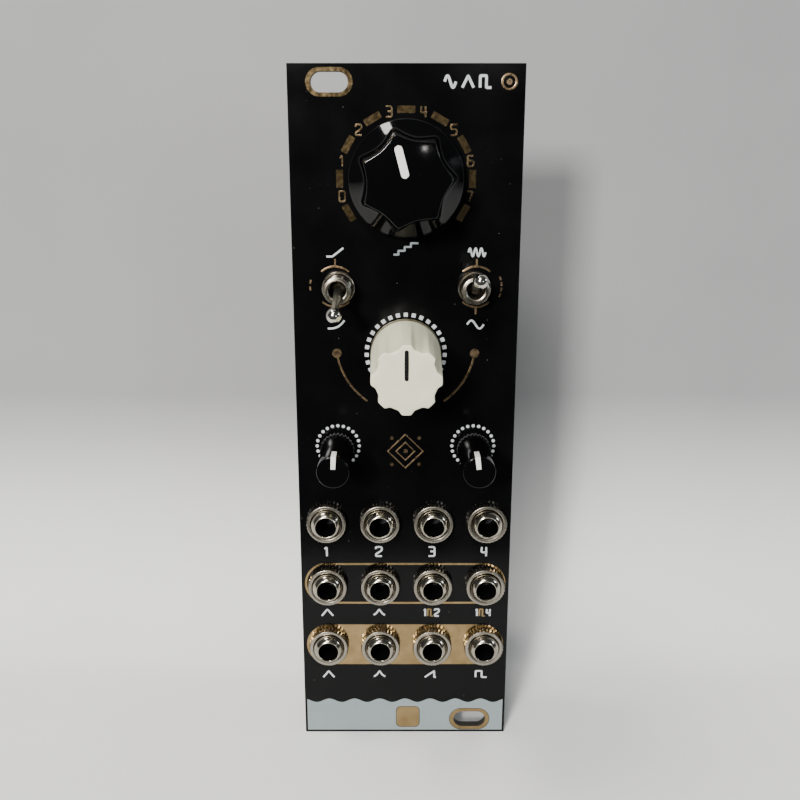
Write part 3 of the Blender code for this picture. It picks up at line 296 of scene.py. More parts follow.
def boxOf(low, high, bevel=0.0, segments=2):
    shape = bmesh.new()
    bmesh.ops.create_cube(shape, size=1)
    low, high = Vector(low), Vector(high)
    bmesh.ops.scale(shape, vec=high - low, verts=shape.verts)
    bmesh.ops.translate(shape, vec=(low + high) / 2, verts=shape.verts)
    return bevelled(shape, shape.edges[:], bevel, segments) if bevel else shape


def boxAt(x, y, z, low, high):
    # a box whose corners are given in mm from a place
    place = Vector((x, y, z))
    return boxOf(place + Vector(low) * mm, place + Vector(high) * mm)


def outwardEdges(shape):
    # the edges that run along the out axis
    return [edge for edge in shape.edges if abs(edge.verts[0].co.y - edge.verts[1].co.y) > 0.014 * mm]


def mergeInto(target, part, materialIndex=0):
    # adds a bmesh to another and frees it
    for face in part.faces:
        face.material_index = materialIndex
    kept = meshOf("part", part)
    target.from_mesh(kept)
    bpy.data.meshes.remove(kept)
    return target


def merged(parts, materialIndex=0):
    whole = bmesh.new()
    for part in parts:
        mergeInto(whole, part, materialIndex)
    return whole


def addPiece(
    name, shape, materials, body="module", replaces=(), slot="panel", place=(0, 0, 0), turn=0.0, sharp=32
):
    # turn is the angle about the out axis, clockwise seen from the front, before the shape goes to its place
    bmesh.ops.transform(shape, matrix=Matrix.Rotation(turn, 4, "Y"), verts=shape.verts)
    bmesh.ops.translate(shape, vec=place, verts=shape.verts)
    mesh = meshOf(name, shape)
    mesh.shade_smooth()
    mesh.set_sharp_from_angle(angle=math.radians(sharp))
    for material in materials:
        mesh.materials.append(looks[material])
    piece = inScene(name, mesh)
    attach(piece, body)
    if replaces:
        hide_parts(*replaces)
    return piece


def stadiumFace(length, height, steps=20):
    # one flat face with round ends, in the panel's plane, facing out
    shape = bmesh.new()
    bmesh.ops.create_circle(shape, cap_ends=True, segments=2 * steps, radius=height / 2)
    turned(shape, math.pi / 2, "X")
    for vert in shape.verts:
        if abs(vert.co.x) > 0.0001 * mm:
            vert.co.x += math.copysign((length - height) / 2, vert.co.x)
    return shape


def thicken(shape, amount):
    # gives flat faces in the panel's plane a thickness towards the front
    grown = bmesh.ops.extrude_face_region(shape, geom=shape.faces[:])
    verts = [item for item in grown["geom"] if isinstance(item, bmesh.types.BMVert)]
    bmesh.ops.translate(shape, vec=(0, -amount, 0), verts=verts)
    bmesh.ops.recalc_face_normals(shape, faces=shape.faces)
    return shape


def pierce(shape, cutters):
    # cuts the cutters out of a shape with a Boolean
    base, tool = inScene("base", meshOf("base", shape)), inScene("tool", meshOf("tool", merged(cutters)))
    step = base.modifiers.new("pierce", "BOOLEAN")
    step.operation = "DIFFERENCE"
    step.solver = "EXACT"
    step.object = tool
    bpy.context.view_layer.update()
    result = bmesh.new()
    result.from_object(base, bpy.context.evaluated_depsgraph_get())
    for old in (base, tool):
        bpy.data.objects.remove(old, do_unlink=True)
    return result


# Camera, light and floor

camera = {
    "place": (-1.26 * mm, -164.79 * mm, 114.27 * mm),
    "pitch": -15.14, "yaw": -0.08, "roll": -0.04,
    "lens": 41.52, "shiftUp": 0.00075,
}


def addCamera():
    data = bpy.data.cameras.new("camera")
    data.lens = camera["lens"]
    data.sensor_width = 36
    data.shift_y = camera["shiftUp"]
    data.clip_start = 0.005
    made = inScene("camera", data)
    made.location = camera["place"]
    turn = Matrix.Rotation(math.radians(camera["yaw"]), 4, "Z")
    turn = turn @ Matrix.Rotation(math.radians(90 + camera["pitch"]), 4, "X")
    turn = turn @ Matrix.Rotation(math.radians(-camera["roll"]), 4, "Z")
    made.rotation_euler = turn.to_euler()
    bpy.context.scene.camera = made


lights = {  # places and sizes in metres
    "ceiling": {"place": (-0.24, 0.0, 0.70), "size": (0.17, 0.11), "power": 2.2, "colour": (1.0, 0.96, 0.89)},
    "high": {"place": (-0.17, -0.52, 0.66), "size": (0.22, 0.22), "power": 4.6, "colour": (1.0, 0.975, 0.94)},
    "key": {"place": (-0.31, -0.90, 0.37), "size": (0.13, 0.13), "power": 12.2, "colour": (1.0, 0.985, 0.96)},
    "lamp": {"place": (0.36, -0.56, 0.12), "size": (0.07, 0.07), "power": 0.36, "colour": (0.74, 0.89, 1.0)},
    "side": {"place": (0.50, -0.05, 0.26), "size": (0.06, 0.09), "power": 0.35, "colour": (0.86, 0.94, 1.0)},
    "spot": {
        "place": (0.070, -0.655, 0.206), "size": (0.014, 0.014), "power": 0.022, "colour": (1.0, 0.98, 0.94),
    },
}
room = {"aim": (0, 0, 0.06), "colour": (0.066, 0.072, 0.077)}


def addLights():
    for name, light in lights.items():
        data = bpy.data.lights.new(name, "AREA")
        data.shape = "RECTANGLE"
        data.size, data.size_y = light["size"]
        data.energy = light["power"]
        data.color = light["colour"]
        made = inScene(name, data)
        made.location = light["place"]
        made.rotation_euler = (Vector(room["aim"]) - made.location).to_track_quat("-Z", "Y").to_euler()
    world = bpy.data.worlds.new("room")
    world.use_nodes = True
    background = world.node_tree.nodes["Background"]
    background.inputs["Color"].default_value = (*room["colour"], 1)
    background.inputs["Strength"].default_value = 1.0
    bpy.context.scene.world = world


# the card is one sheet, painted pale where it lies on the table and dark where it rises behind: painted light
# on the floor and painted shade on the wall, blended over fadeHeight
floor = {
    "front": -0.085, "back": 0.062, "bend": 0.045, "height": 1.1, "halfWidth": 1.3, "bendSteps": 24,
    "fadeHeight": 0.055,
    "table": ((0.84, 0.845, 0.84), (0.88, 0.88, 0.87)), "wall": ((0.27, 0.27, 0.274), (0.30, 0.30, 0.302)),
}


def cardMaterial():
    material, tree, shader, place = startMaterial("card with painted light and shade", (0.70, 0.71, 0.70), 0.6)
    cloud = spread(tree, noiseOf(tree, place, 60, 3), 0, 1)
    table, wall = (blendOf(tree, cloud, *floor[part]) for part in ("table", "wall"))
    # painted light and shade: the table's pale colour turns into the wall's dark one as the sheet rises
    height = nodeOf(tree, "SeparateXYZ", {"Vector": place})["Z"]
    rise = spread(tree, height, 0, 1, 0.0, floor["fadeHeight"])
    tree.links.new(blendOf(tree, rise, table, wall), shader.inputs["Base Color"])
    bumpOf(tree, shader, noiseOf(tree, place, 2, 3), 0.05, 0.1)
    # the sheet doesn't hide the module from behind
    clear = nodeOf(tree, "BsdfTransparent", {})["BSDF"]
    behind = nodeOf(tree, "NewGeometry", {})["Backfacing"]
    either = nodeOf(tree, "MixShader", {"Fac": behind, 1: shader.outputs["BSDF"], 2: clear})["Shader"]
    tree.links.new(either, tree.nodes["Material Output"].inputs["Surface"])
    return material


def addFloor():
    # a sheet that lies on the table and bends up behind the module
    look = floor
    bend = edgeArc(look["back"], 0, look["bend"], look["bendSteps"])
    points = [(look["front"], 0.0)] + [(y, -out) for y, out in bend] + [(look["back"], look["height"])]
    shape = bmesh.new()
    verts = [shape.verts.new((-look["halfWidth"], y, z)) for y, z in points]
    edges = [shape.edges.new(pair) for pair in zip(verts, verts[1:])]
    grown = bmesh.ops.extrude_edge_only(shape, edges=edges)
    moved = [item for item in grown["geom"] if isinstance(item, bmesh.types.BMVert)]
    bmesh.ops.translate(shape, vec=(2 * look["halfWidth"], 0, 0), verts=moved)
    bmesh.ops.recalc_face_normals(shape, faces=shape.faces)
    shape.faces.ensure_lookup_table()
    if shape.faces[0].normal.z - shape.faces[0].normal.y < 0:
        bmesh.ops.reverse_faces(shape, faces=shape.faces)
    mesh = meshOf("backdrop", shape)
    mesh.shade_smooth()
    mesh.materials.append(cardMaterial())
    inScene("backdrop", mesh)


addCamera()
addLights()
addFloor()
print("camera, lights and floor set")


# Front panel

panelLook = {
    "edgeBevel": 0.06 * mm, "slot": (6.4 * mm, 3.4 * mm), "slotFromSide": 7.1 * mm, "slotFromEnd": 3.0 * mm,
}
slotPlaces = [
    (panelLow.x + panelLook["slotFromSide"], panelHigh.z - panelLook["slotFromEnd"]),
    (panelHigh.x - panelLook["slotFromSide"], panelLow.z + panelLook["slotFromEnd"]),
]
octaveAxis = middle("octave_switch_nut")
tuneAxis = middle("tune_pot_nut")
smallAxes = {side: middle(f"{side}_small_pot_case") for side in ("left", "right")}
toggleAxes = {side: middle(f"{side}_toggle_nut") for side in ("left", "right")}
jackAxes = {name: middle(f"jack_nut_{name}") for name in jackNames}
holes = {  # radii
    "jack": 3.15 * mm, "octave": 4.8 * mm, "tune": 3.8 * mm, "small": 2.5 * mm, "toggle": 2.6 * mm,
}


def addSheet(name, node, cutters, bevel, face, slot):
    # a board with its holes and its bare edges
    sheet = pierce(boxOf(*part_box(node), bevel), cutters)
    for side in sheet.faces:
        side.material_index = 0 if abs(side.normal.y) > 0.6 else 1
    addPiece(name, sheet, [face, "edge"], replaces=[node], slot=slot, sharp=10)


def addPanel():
    low, high = -panelBack - past, -frontFace + past
    cutters = []
    for x, z in slotPlaces:
        slot = thicken(stadiumFace(*panelLook["slot"], 24), high - low)
        cutters.append(shifted(slot, x, z, -low))
    axes = {
        "jack": jackAxes.values(), "octave": [octaveAxis], "tune": [tuneAxis], "small": smallAxes.values(),
        "toggle": toggleAxes.values(),
    }
    for kind, places in axes.items():
        cutters += [shifted(rodOf(holes[kind], low, high, 36), axis.x, axis.z) for axis in places]
    addSheet("panelSheet", "front_panel", cutters, panelLook["edgeBevel"], "soldermask", "panel")


addPanel()
print("panel made")


# Marks that are plated and printed on the panel, each a thin layer on its face

inkHeight = 0.03 * mm


def strokeMesh(lines, width, cyclic=False):
    # thin ribbons along 2-D lines in the panel's plane
    data = bpy.data.curves.new("stroke", "CURVE")
    data.dimensions = "3D"
    data.bevel_depth = width / 2
    data.bevel_resolution = 2
    data.use_fill_caps = True
    for line in lines:
        spline = data.splines.new("POLY")
        spline.points.add(len(line) - 1)
        for point, (x, z) in zip(spline.points, line):
            point.co = (x, 0, z, 1)
        spline.use_cyclic_u = cyclic
    holder = inScene("stroke", data)
    bpy.context.view_layer.update()
    mesh = bpy.data.meshes.new_from_object(holder.evaluated_get(bpy.context.evaluated_depsgraph_get()))
    whole = bmesh.new()
    whole.from_mesh(mesh)
    bpy.data.objects.remove(holder, do_unlink=True)
    bpy.data.meshes.remove(mesh)
    bmesh.ops.scale(whole, vec=(1, 2 * inkHeight / width, 1), verts=whole.verts)
    for vert in whole.verts:
        vert.co.y = max(-inkHeight / 2, min(inkHeight / 2, vert.co.y))
    bmesh.ops.remove_doubles(whole, verts=whole.verts, dist=0.0002 * mm)
    bmesh.ops.recalc_face_normals(whole, faces=whole.faces)
    return whole


def arcLine(x, z, radius, start, end, steps=24):
    # angles in degrees, clockwise from straight up
    return [around(x, z, radius, start + (end - start) * i / steps) for i in range(steps + 1)]


digitLines = {  # each figure in shares of its width and height
    "0": [[(0.5, 1), (0, 1), (0, 0), (1, 0), (1, 1), (0.5, 1)]],
    "1": [[(0.25, 0.78), (0.62, 1), (0.62, 0)]],
    "2": [[(0, 0.78), (0, 1), (1, 1), (1, 0.62), (0, 0.22), (0, 0), (1, 0)]],
    "3": [[(0, 1), (1, 1), (1, 0), (0, 0)], [(0.3, 0.52), (1, 0.52)]],
    "4": [[(0.08, 1), (0, 0.42), (1, 0.42)], [(0.8, 1), (0.8, 0)]],
    "5": [[(1, 1), (0, 1), (0, 0.56), (1, 0.56), (1, 0), (0, 0)]],
    "6": [[(0.9, 1), (0, 1), (0, 0), (1, 0), (1, 0.54), (0, 0.54)]],
    "7": [[(0, 1), (1, 1), (0.35, 0)]],
}
waveLines = {
    "ramp": [[(0, 0), (0.35, 0), (1, 1)]],
    "curve": [[(i / 10, (i / 10) ** 3) for i in range(11)]],
    "fast": [[(i / 24, 0.5 + 0.5 * math.sin(i / 24 * 6 * math.pi)) for i in range(25)]],
    "slow": [[(i / 16, 0.5 + 0.5 * math.sin(i / 16 * 2 * math.pi)) for i in range(17)]],
    "triangle": [[(0, 0), (0.5, 1), (1, 0)]],
    "peak": [[(0, 0.1), (0.25, 0.4), (0.5, 1), (0.75, 0.4), (1, 0.1)]],
    "saw": [[(0, 0), (0.85, 1), (0.85, 0), (1, 0)]],
    "pulse": [[(0, 0), (0, 1), (0.55, 1), (0.55, 0), (1, 0)]],
    "steps": [[(0, 0), (0.2, 0), (0.2, 0.33), (0.45, 0.33), (0.45, 0.67), (0.7, 0.67), (0.7, 1), (1, 1)]],
}


def glyph(lines, x, z, width, height, round=0.3):
    # lines in shares of a box whose middle is x, z
    placed = [[(x + (u - 0.5) * width, z + (v - 0.5) * height) for u, v in line] for line in lines]
    return [rounded(line, round * min(width, height)) if len(line) > 2 else line for line in placed]


def discOf(radius, x, z, segments=24):
    return shifted(rodOf(radius, 0, inkHeight, segments), x, z)


def tileOf(width, height, x, z, turn=0.0, corner=0.0):
    # turn is in degrees
    tile = boxOf((-width / 2, -inkHeight, -height / 2), (width / 2, 0, height / 2))
    if corner:
        bevelled(tile, outwardEdges(tile), corner, 4)
    return shifted(turned(tile, math.radians(turn), "Y"), x, z)


def addMarks(name, shapes, material):
    return addPiece(name, merged(shapes), [material], place=(0, frontFace, 0), sharp=8)


dialMarks = {
    "radius": 11.5 * mm, "blocks": 9, "step": 30, "blockSize": (3.05 * mm, 1.2 * mm), "corner": 0.14 * mm,
    "digitSize": (1.0 * mm, 1.75 * mm), "digitLine": 0.3 * mm,
}


def addDialMarks():
    look = dialMarks
    first = -look["step"] * (look["blocks"] - 1) / 2
    blocks, lines = [], []
    for i in range(look["blocks"]):
        angle = first + i * look["step"]
        place = around(octaveAxis.x, octaveAxis.z, look["radius"], angle)
        blocks.append(tileOf(*look["blockSize"], *place, angle, look["corner"]))
    for i in range(look["blocks"] - 1):
        place = around(octaveAxis.x, octaveAxis.z, look["radius"], first + (i + 0.5) * look["step"])
        lines += glyph(digitLines[str(i)], *place, *look["digitSize"])
    addMarks("dialBlocks", blocks, "gold")
    # the figures take the darker gold, which is painted shade
    addMarks("dialFigures", [strokeMesh(lines, look["digitLine"])], "shadedGoldFigure")


tuneMarks = {
    "ring": 7.08 * mm, "squares": 27, "sweep": 300, "square": 0.74 * mm, "corner": 0.1 * mm,
    "arcLine": 0.36 * mm, "arcRadius": 13.4 * mm, "arcMiddle": 0.76 * mm, "arcHeight": 1.9 * mm,
    "dotReach": 12.5 * mm, "dotRadius": 0.85 * mm, "endReach": 7.04 * mm,
}


def addTuneMarks():
    look = tuneMarks
    squares, arcs, dots = [], [], []
    for i in range(look["squares"]):
        angle = look["sweep"] * (i / (look["squares"] - 1) - 0.5)
        place = around(tuneAxis.x, tuneAxis.z, look["ring"], angle)
        squares.append(tileOf(look["square"], look["square"], *place, angle, look["corner"]))
    addMarks("tuneRing", squares, "white")
    dotAngle = 90 + math.degrees(math.asin(look["arcHeight"] / look["arcRadius"]))
    endAngle = 180 - math.degrees(math.asin((look["endReach"] + look["arcMiddle"]) / look["arcRadius"]))
    for side in (-1, 1):
        x, z = tuneAxis.x - side * look["arcMiddle"], tuneAxis.z + look["arcHeight"]
        arcs.append(arcLine(x, z, look["arcRadius"], side * dotAngle, side * endAngle))
        dots.append(discOf(look["dotRadius"], side * look["dotReach"], tuneAxis.z))
    addMarks("tuneArcs", [strokeMesh(arcs, look["arcLine"])] + dots, "goldLine")


smallMarks = {"ring": 3.92 * mm, "dots": 21, "step": 15, "dotRadius": 0.31 * mm}


def addSmallMarks():
    look = smallMarks
    dots = []
    for axis in smallAxes.values():
        for i in range(look["dots"]):
            place = around(axis.x, axis.z, look["ring"], (i - (look["dots"] - 1) / 2) * look["step"])
            dots.append(discOf(look["dotRadius"], *place, segments=16))
    addMarks("smallRings", dots, "white")


toggleMarks = {
    "reach": 12.55 * mm, "radius": 3.6 * mm, "span": 42, "line": 0.32 * mm, "tick": 1.35 * mm,
    "glyphSize": (3.0 * mm, 1.5 * mm), "glyphLine": 0.34 * mm, "upperOff": 6.1 * mm, "lowerOff": 6.8 * mm,
    "glyphs": {-1: ("ramp", "curve"), 1: ("fast", "slow")},  # above and below each side's arcs
    "dashRadius": 4.5 * mm, "dashSpan": 9, "dashes": {-1: (74, 89), 1: (66, 79, 92, 105)},  # each one's start
}


def addToggleMarks():
    look = toggleMarks
    gold, white = [], []
    z = toggleAxes["left"].z
    for side, (upper, lower) in look["glyphs"].items():
        x = side * look["reach"]
        for facing in (0, 180):
            gold.append(arcLine(x, z, look["radius"], facing - look["span"], facing + look["span"]))
        for way in (1, -1):
            edge = z + way * look["radius"]
            gold.append([(x, edge), (x, edge + way * look["tick"])])
        white += glyph(waveLines[upper], x, z + look["upperOff"], *look["glyphSize"], round=0.08)
        white += glyph(waveLines[lower], x, z - look["lowerOff"], *look["glyphSize"], round=0.08)
    for side, starts in look["dashes"].items():
        for start in starts:
            angles = side * start, side * (start + look["dashSpan"])
            gold.append(arcLine(side * look["reach"], z, look["dashRadius"], *angles, 6))
    addMarks("toggleArcs", [strokeMesh(gold, look["line"])], "goldLine")
    addMarks("toggleGlyphs", [strokeMesh(white, look["glyphLine"])], "white")


jackMarks = {
    "columns": (-15.24 * mm, -5.08 * mm, 5.08 * mm, 15.24 * mm), "line": 0.36 * mm,
    "outline": (39.0 * mm, 8.7 * mm), "outlineMiddle": 33.05 * mm, "outlineLine": 0.4 * mm,
    "band": (38.84 * mm, 8.8 * mm), "bandMiddle": 19.84 * mm,
    "rowOne": 39.77 * mm, "rowTwo": 26.8 * mm, "rowThree": 13.2 * mm,
    "digit": (1.15 * mm, 1.9 * mm), "wave": (2.2 * mm, 1.4 * mm),
    "one": (0.55 * mm, 1.5 * mm), "oneOff": -1.2 * mm, "figure": (0.8 * mm, 1.5 * mm), "figureOff": 1.15 * mm,
    "pulse": (1.1 * mm, 1.5 * mm), "pulseOff": -0.1 * mm,
    "steps": (4.4 * mm, 2.0 * mm), "stepsMiddle": 97.6 * mm,
}


def addJackMarks():
    look = jackMarks
    columns, rowTwo = look["columns"], look["rowTwo"]
    ring = stadiumFace(*look["outline"])
    bmesh.ops.inset_individual(ring, faces=ring.faces[:], thickness=look["outlineLine"])
    widest = max(ring.faces, key=lambda face: face.calc_area())
    bmesh.ops.delete(ring, geom=[widest], context="FACES")
    addMarks("rowOutline", [shifted(thicken(ring, inkHeight), 0, look["outlineMiddle"])], "gold")
    band = shifted(thicken(stadiumFace(*look["band"], 28), inkHeight), 0, look["bandMiddle"])
    lowest = [axis for name, axis in jackAxes.items() if name.startswith("r3")]
    cutters = [shifted(rodOf(holes["jack"], -past, past, 36), axis.x, axis.z) for axis in lowest]
    addMarks("rowBand", [pierce(band, cutters)], "gold")
    white, gold = [], []
    for number, x in enumerate(columns):
        white += glyph(digitLines[str(number + 1)], x, look["rowOne"], *look["digit"])
    for x, name in zip(columns[:2], ("triangle", "peak")):
        white += glyph(waveLines[name], x, rowTwo, *look["wave"], round=0.15)
    for x, figure in zip(columns[2:], ("2", "4")):
        white += glyph(digitLines["1"], x + look["oneOff"], rowTwo, *look["one"])
        white += glyph(digitLines[figure], x + look["figureOff"], rowTwo, *look["figure"])
        gold += glyph(waveLines["pulse"], x + look["pulseOff"], rowTwo, *look["pulse"], round=0.05)
    for x, name in zip(columns, ("triangle", "peak", "saw", "pulse")):
        white += glyph(waveLines[name], x, look["rowThree"], *look["wave"], round=0.1)
    steps = glyph(waveLines["steps"], 0, look["stepsMiddle"], *look["steps"], round=0.04)
    addMarks("stepsGlyph", [strokeMesh(steps, look["line"])], "grey")
    addMarks("jackGlyphs", [strokeMesh(white, look["line"])], "white")
    addMarks("pulseGlyphs", [strokeMesh(gold, look["line"] * 0.9)], "gold")


footBand = {
    "halfWidth": 19.7 * mm, "foot": 0.48 * mm, "crest": 7.64 * mm, "trough": 6.85 * mm, "pitch": 5.08 * mm,
    "steps": 160, "slotRing": (8.0 * mm, 4.75 * mm), "ringGap": 0.1 * mm, "pad": 4.6 * mm,
    "padMiddle": (0.6 * mm, 3.5 * mm), "padCorner": 0.9 * mm, "padHoleCorner": 0.95 * mm,
}


def facingGrid(columns, rows):
    # a flat grid one metre wide and high, in the panel's plane
    shape = bmesh.new()
    bmesh.ops.create_grid(shape, x_segments=columns, y_segments=rows, size=0.5)
    return turned(shape, math.pi / 2, "X")


def addFootBand():
    look, gap = footBand, footBand["ringGap"]
    shape = facingGrid(look["steps"], 1)
    for vert in shape.verts:
        x = vert.co.x * 2 * look["halfWidth"]
        wave = (1 + math.cos(2 * math.pi * x / look["pitch"])) / 2
        top = look["trough"] + (look["crest"] - look["trough"]) * wave
        vert.co.x = x
        vert.co.z = top if vert.co.z > 0 else look["foot"]
    slotHole = thicken(stadiumFace(*(size + 2 * gap for size in look["slotRing"]), 24), 2 * past)
    side = look["pad"] + 2 * gap
    padHole = tileOf(side, side, *look["padMiddle"], corner=look["padHoleCorner"])
    bmesh.ops.scale(padHole, vec=(1, 60, 1), verts=padHole.verts)
    holesOfBand = [shifted(slotHole, *slotPlaces[1], past), shifted(padHole, 0, 0, past)]
    addMarks("footBand", [pierce(thicken(shape, inkHeight), holesOfBand)], "pale")


def addSlotRings():
    look = footBand
    rings = []
    for x, z in slotPlaces:
        ring = thicken(stadiumFace(*look["slotRing"], 24), inkHeight)
        slot = thicken(stadiumFace(*panelLook["slot"], 24), 2 * past)
        rings.append(shifted(pierce(ring, [shifted(slot, 0, 0, past)]), x, z))
    pad = tileOf(look["pad"], look["pad"], *look["padMiddle"], corner=look["padCorner"])
    addMarks("slotRings", rings + [pad], "gold")


ornament = {
    "middle": (0.0, 60.1 * mm), "outer": 3.3 * mm, "inner": 1.75 * mm, "line": 0.3 * mm, "dot": 0.42 * mm,
    "outerDot": 0.336 * mm, "dotShare": 0.78,
    "topHeight": 125.55 * mm, "ringAt": 17.4 * mm, "ring": 1.2 * mm, "ringLine": 0.36 * mm,
    "ringDot": 0.5 * mm,
    "signs": {"slow": 7.4 * mm, "triangle": 10.4 * mm, "pulse": 13.4 * mm}, "signSize": (1.9 * mm, 1.9 * mm),
    "signLine": 0.46 * mm,
}


def addOrnament():
    # nested diamonds and dots, and a ring and wave signs at the top
    look = ornament
    x, z = look["middle"]
    lines = []
    for reach in (look["outer"], look["inner"]):
        lines.append([(x + u * reach, z + v * reach) for u, v in ((0, 1), (1, 0), (0, -1), (-1, 0))])
    dots = [discOf(look["dot"], x, z)]
    for u, v in ((1, 1), (1, -1), (-1, 1), (-1, -1)):
        reach = look["outer"] * look["dotShare"]
        dots.append(discOf(look["outerDot"], x + u * reach, z + v * reach))
    dots.append(discOf(look["ringDot"], look["ringAt"], look["topHeight"]))
    ring = arcLine(look["ringAt"], look["topHeight"], look["ring"], 0, 345, 32)
    ring = strokeMesh([ring], look["ringLine"], cyclic=True)
    addMarks("ornament", [strokeMesh(lines, look["line"], cyclic=True), ring] + dots, "goldLine")
    white = []
    for name, place in look["signs"].items():
        white += glyph(waveLines[name], place, look["topHeight"], *look["signSize"], round=0.08)
    addMarks("topGlyphs", [strokeMesh(white, look["signLine"])], "white")


addDialMarks()
addTuneMarks()
addSmallMarks()
addToggleMarks()
addJackMarks()
addFootBand()
addSlotRings()
addOrnament()
print("marks printed")


# Knobs; sizes in mm

octaveKnob = {
    "corners": 7, "stepsPerSide": 24, "foot": 1.0, "skirt": 10.0, "skirtTop": 2.1, "lowCorner": 8.5,
    "highCorner": 7.4, "highHollow": 6.3, "lowHollow": 6.95, "cone": (5.5, 1.03), "fillet": 0.3, "land": 0.04,
    "faceEdge": 15.65, "top": 16.0, "bevel": 0.3, "turn": math.radians(-15), "pointer": (0.5, 5.7),
    "pointerWidth": 1.25, "under": [(7.5, 1.0), (7.5, 3.0), (5.0, 3.0), (5.0, 5.6), (0, 5.6)],
    "faceRows": (0, 0.15, 0.3, 0.45, 0.6, 0.72, 0.82, 0.9, 0.96), "skirtEdge": 0.12,
    "sideRows": [0.88, 0.75, 0.62, 0.5, 0.41, 0.34] + [i / 100 for i in range(30)],
}


def octaveReach(angle, rise):
    # how far the body reaches at an angle from the top, rise being 0 at the skirt and 1 at the face
    look = octaveKnob
    side = 2 * math.pi / look["corners"]
    fromMiddle = (angle / side) % 1 * side - side / 2
    corner = look["lowCorner"] + (look["highCorner"] - look["lowCorner"]) * rise
    hollow = look["lowHollow"] + (look["highHollow"] - look["lowHollow"]) * rise
    across = min(1, abs(fromMiddle) / (side / 2 * (1 - look["land"])))
    body = corner - (corner - hollow) * (1 - across**2)
    # the skirt rises to the body as a cone, with a fillet where they meet
    out = look["skirtTop"] + (look["faceEdge"] - look["skirtTop"]) * rise
    cone = look["highHollow"] + (look["cone"][0] - out) * look["cone"][1]
    return (body + cone + math.sqrt((body - cone) ** 2 + look["fillet"] ** 2)) / 2


def addOctaveKnob():
    look = octaveKnob
    skirt, skirtTop, foot, top, bevel = (look[name] for name in ("skirt", "skirtTop", "foot", "top", "bevel"))
    bodyFoot = skirtTop + 0.1
    bodyTop = look["faceEdge"] - bevel
    drop = top - look["faceEdge"]
    # rows of height: (how far up the body, share of the outline, step inwards), or a radius
    rows = {top - drop * share**2: (1, share, bevel) for share in look["faceRows"]}
    for inset, height in edgeArc(0, look["faceEdge"], bevel):
        rows[height] = (1, 1, -inset)
    for rise in look["sideRows"]:
        rows[bodyFoot + (bodyTop - bodyFoot) * rise] = (rise, 1, 0)
    edge = look["skirtEdge"]
    rows.update({skirtTop: skirt - 0.1, skirtTop - edge: skirt, foot + edge: skirt, foot: skirt - edge})
    rows = {round(height, 4): row for height, row in rows.items()}
    profile = [(0 if rows[height] == (1, 0, bevel) else 5, height) for height in sorted(rows, reverse=True)]
    steps = look["corners"] * look["stepsPerSide"]
    shape = spun(profile, steps)
    farthest = look["highCorner"] - bevel
    for vert in shape.verts:
        if math.hypot(vert.co.x, vert.co.z) < 0.001 * mm:
            continue
        angle = math.atan2(vert.co.x, vert.co.z)
        reach = rows[round(-vert.co.y / mm, 4)]
        if isinstance(reach, tuple):
            rise, share, inwards = reach
            reach = share * (octaveReach(angle, rise) - inwards)
            if rise == 1:  # the face is one round dome, so its edge is lowest at the corners
                rim = octaveReach(angle, 1) - bevel
                if reach <= rim:
                    vert.co.y = (drop * (reach / farthest) ** 2 - top) * mm
                else:
                    vert.co.y -= drop * (1 - (rim / farthest) ** 2) * mm
        vert.co.x = reach * math.sin(angle) * mm
        vert.co.z = reach * math.cos(angle) * mm
    mergeInto(shape, spun([(skirt - edge, foot)] + look["under"], steps))
    bmesh.ops.remove_doubles(shape, verts=shape.verts, dist=0.002 * mm)
    bmesh.ops.recalc_face_normals(shape, faces=shape.faces)
    rides = {"body": "octave_dial", "slot": "gloss_black", "turn": look["turn"]}
    rides["place"] = (octaveAxis.x, frontFace, octaveAxis.z)
    addPiece("octaveKnobBody", shape, ["glossBlack"], replaces=["octave_knob"], sharp=34, **rides)
    start, end = look["pointer"]
    line = facingGrid(4, 24)
    for vert in line.verts:
        # a strip with round ends that follows the domed face
        along = vert.co.z + 0.5
        half = look["pointerWidth"] / 2
        fromEnd = min(along, 1 - along) * (end - start)
        if fromEnd < half:
            half = math.sqrt(max(0, half**2 - (half - fromEnd) ** 2))
        vert.co.x *= 2 * half * mm
        vert.co.z = (start + along * (end - start)) * mm
        outline = octaveReach(0, 1) - bevel
        vert.co.y = -(top - drop * (vert.co.z / mm / outline) ** 2 + 0.005) * mm
    line = thicken(line, 0.03 * mm)
    bmesh.ops.remove_doubles(line, verts=line.verts, dist=0.001 * mm)
    addPiece("octavePointer", line, ["pointerWhite"], **rides)


tuneKnob = {
    "lobes": 8, "stepsPerLobe": 28, "foot": 1.4, "top": 20.97, "footRadius": 6.3, "topRadius": 5.8,
    "depth": 0.7, "valley": 0.275, "fadeFoot": 3.0, "bevel": 0.24, "pointer": (-0.05, 5.0),
    "pointerWidth": 0.72, "pointerSink": 0.26, "pointerThick": 0.28,
    "under": [(5.5, 1.4), (5.5, 5.6), (0, 5.6)],
}


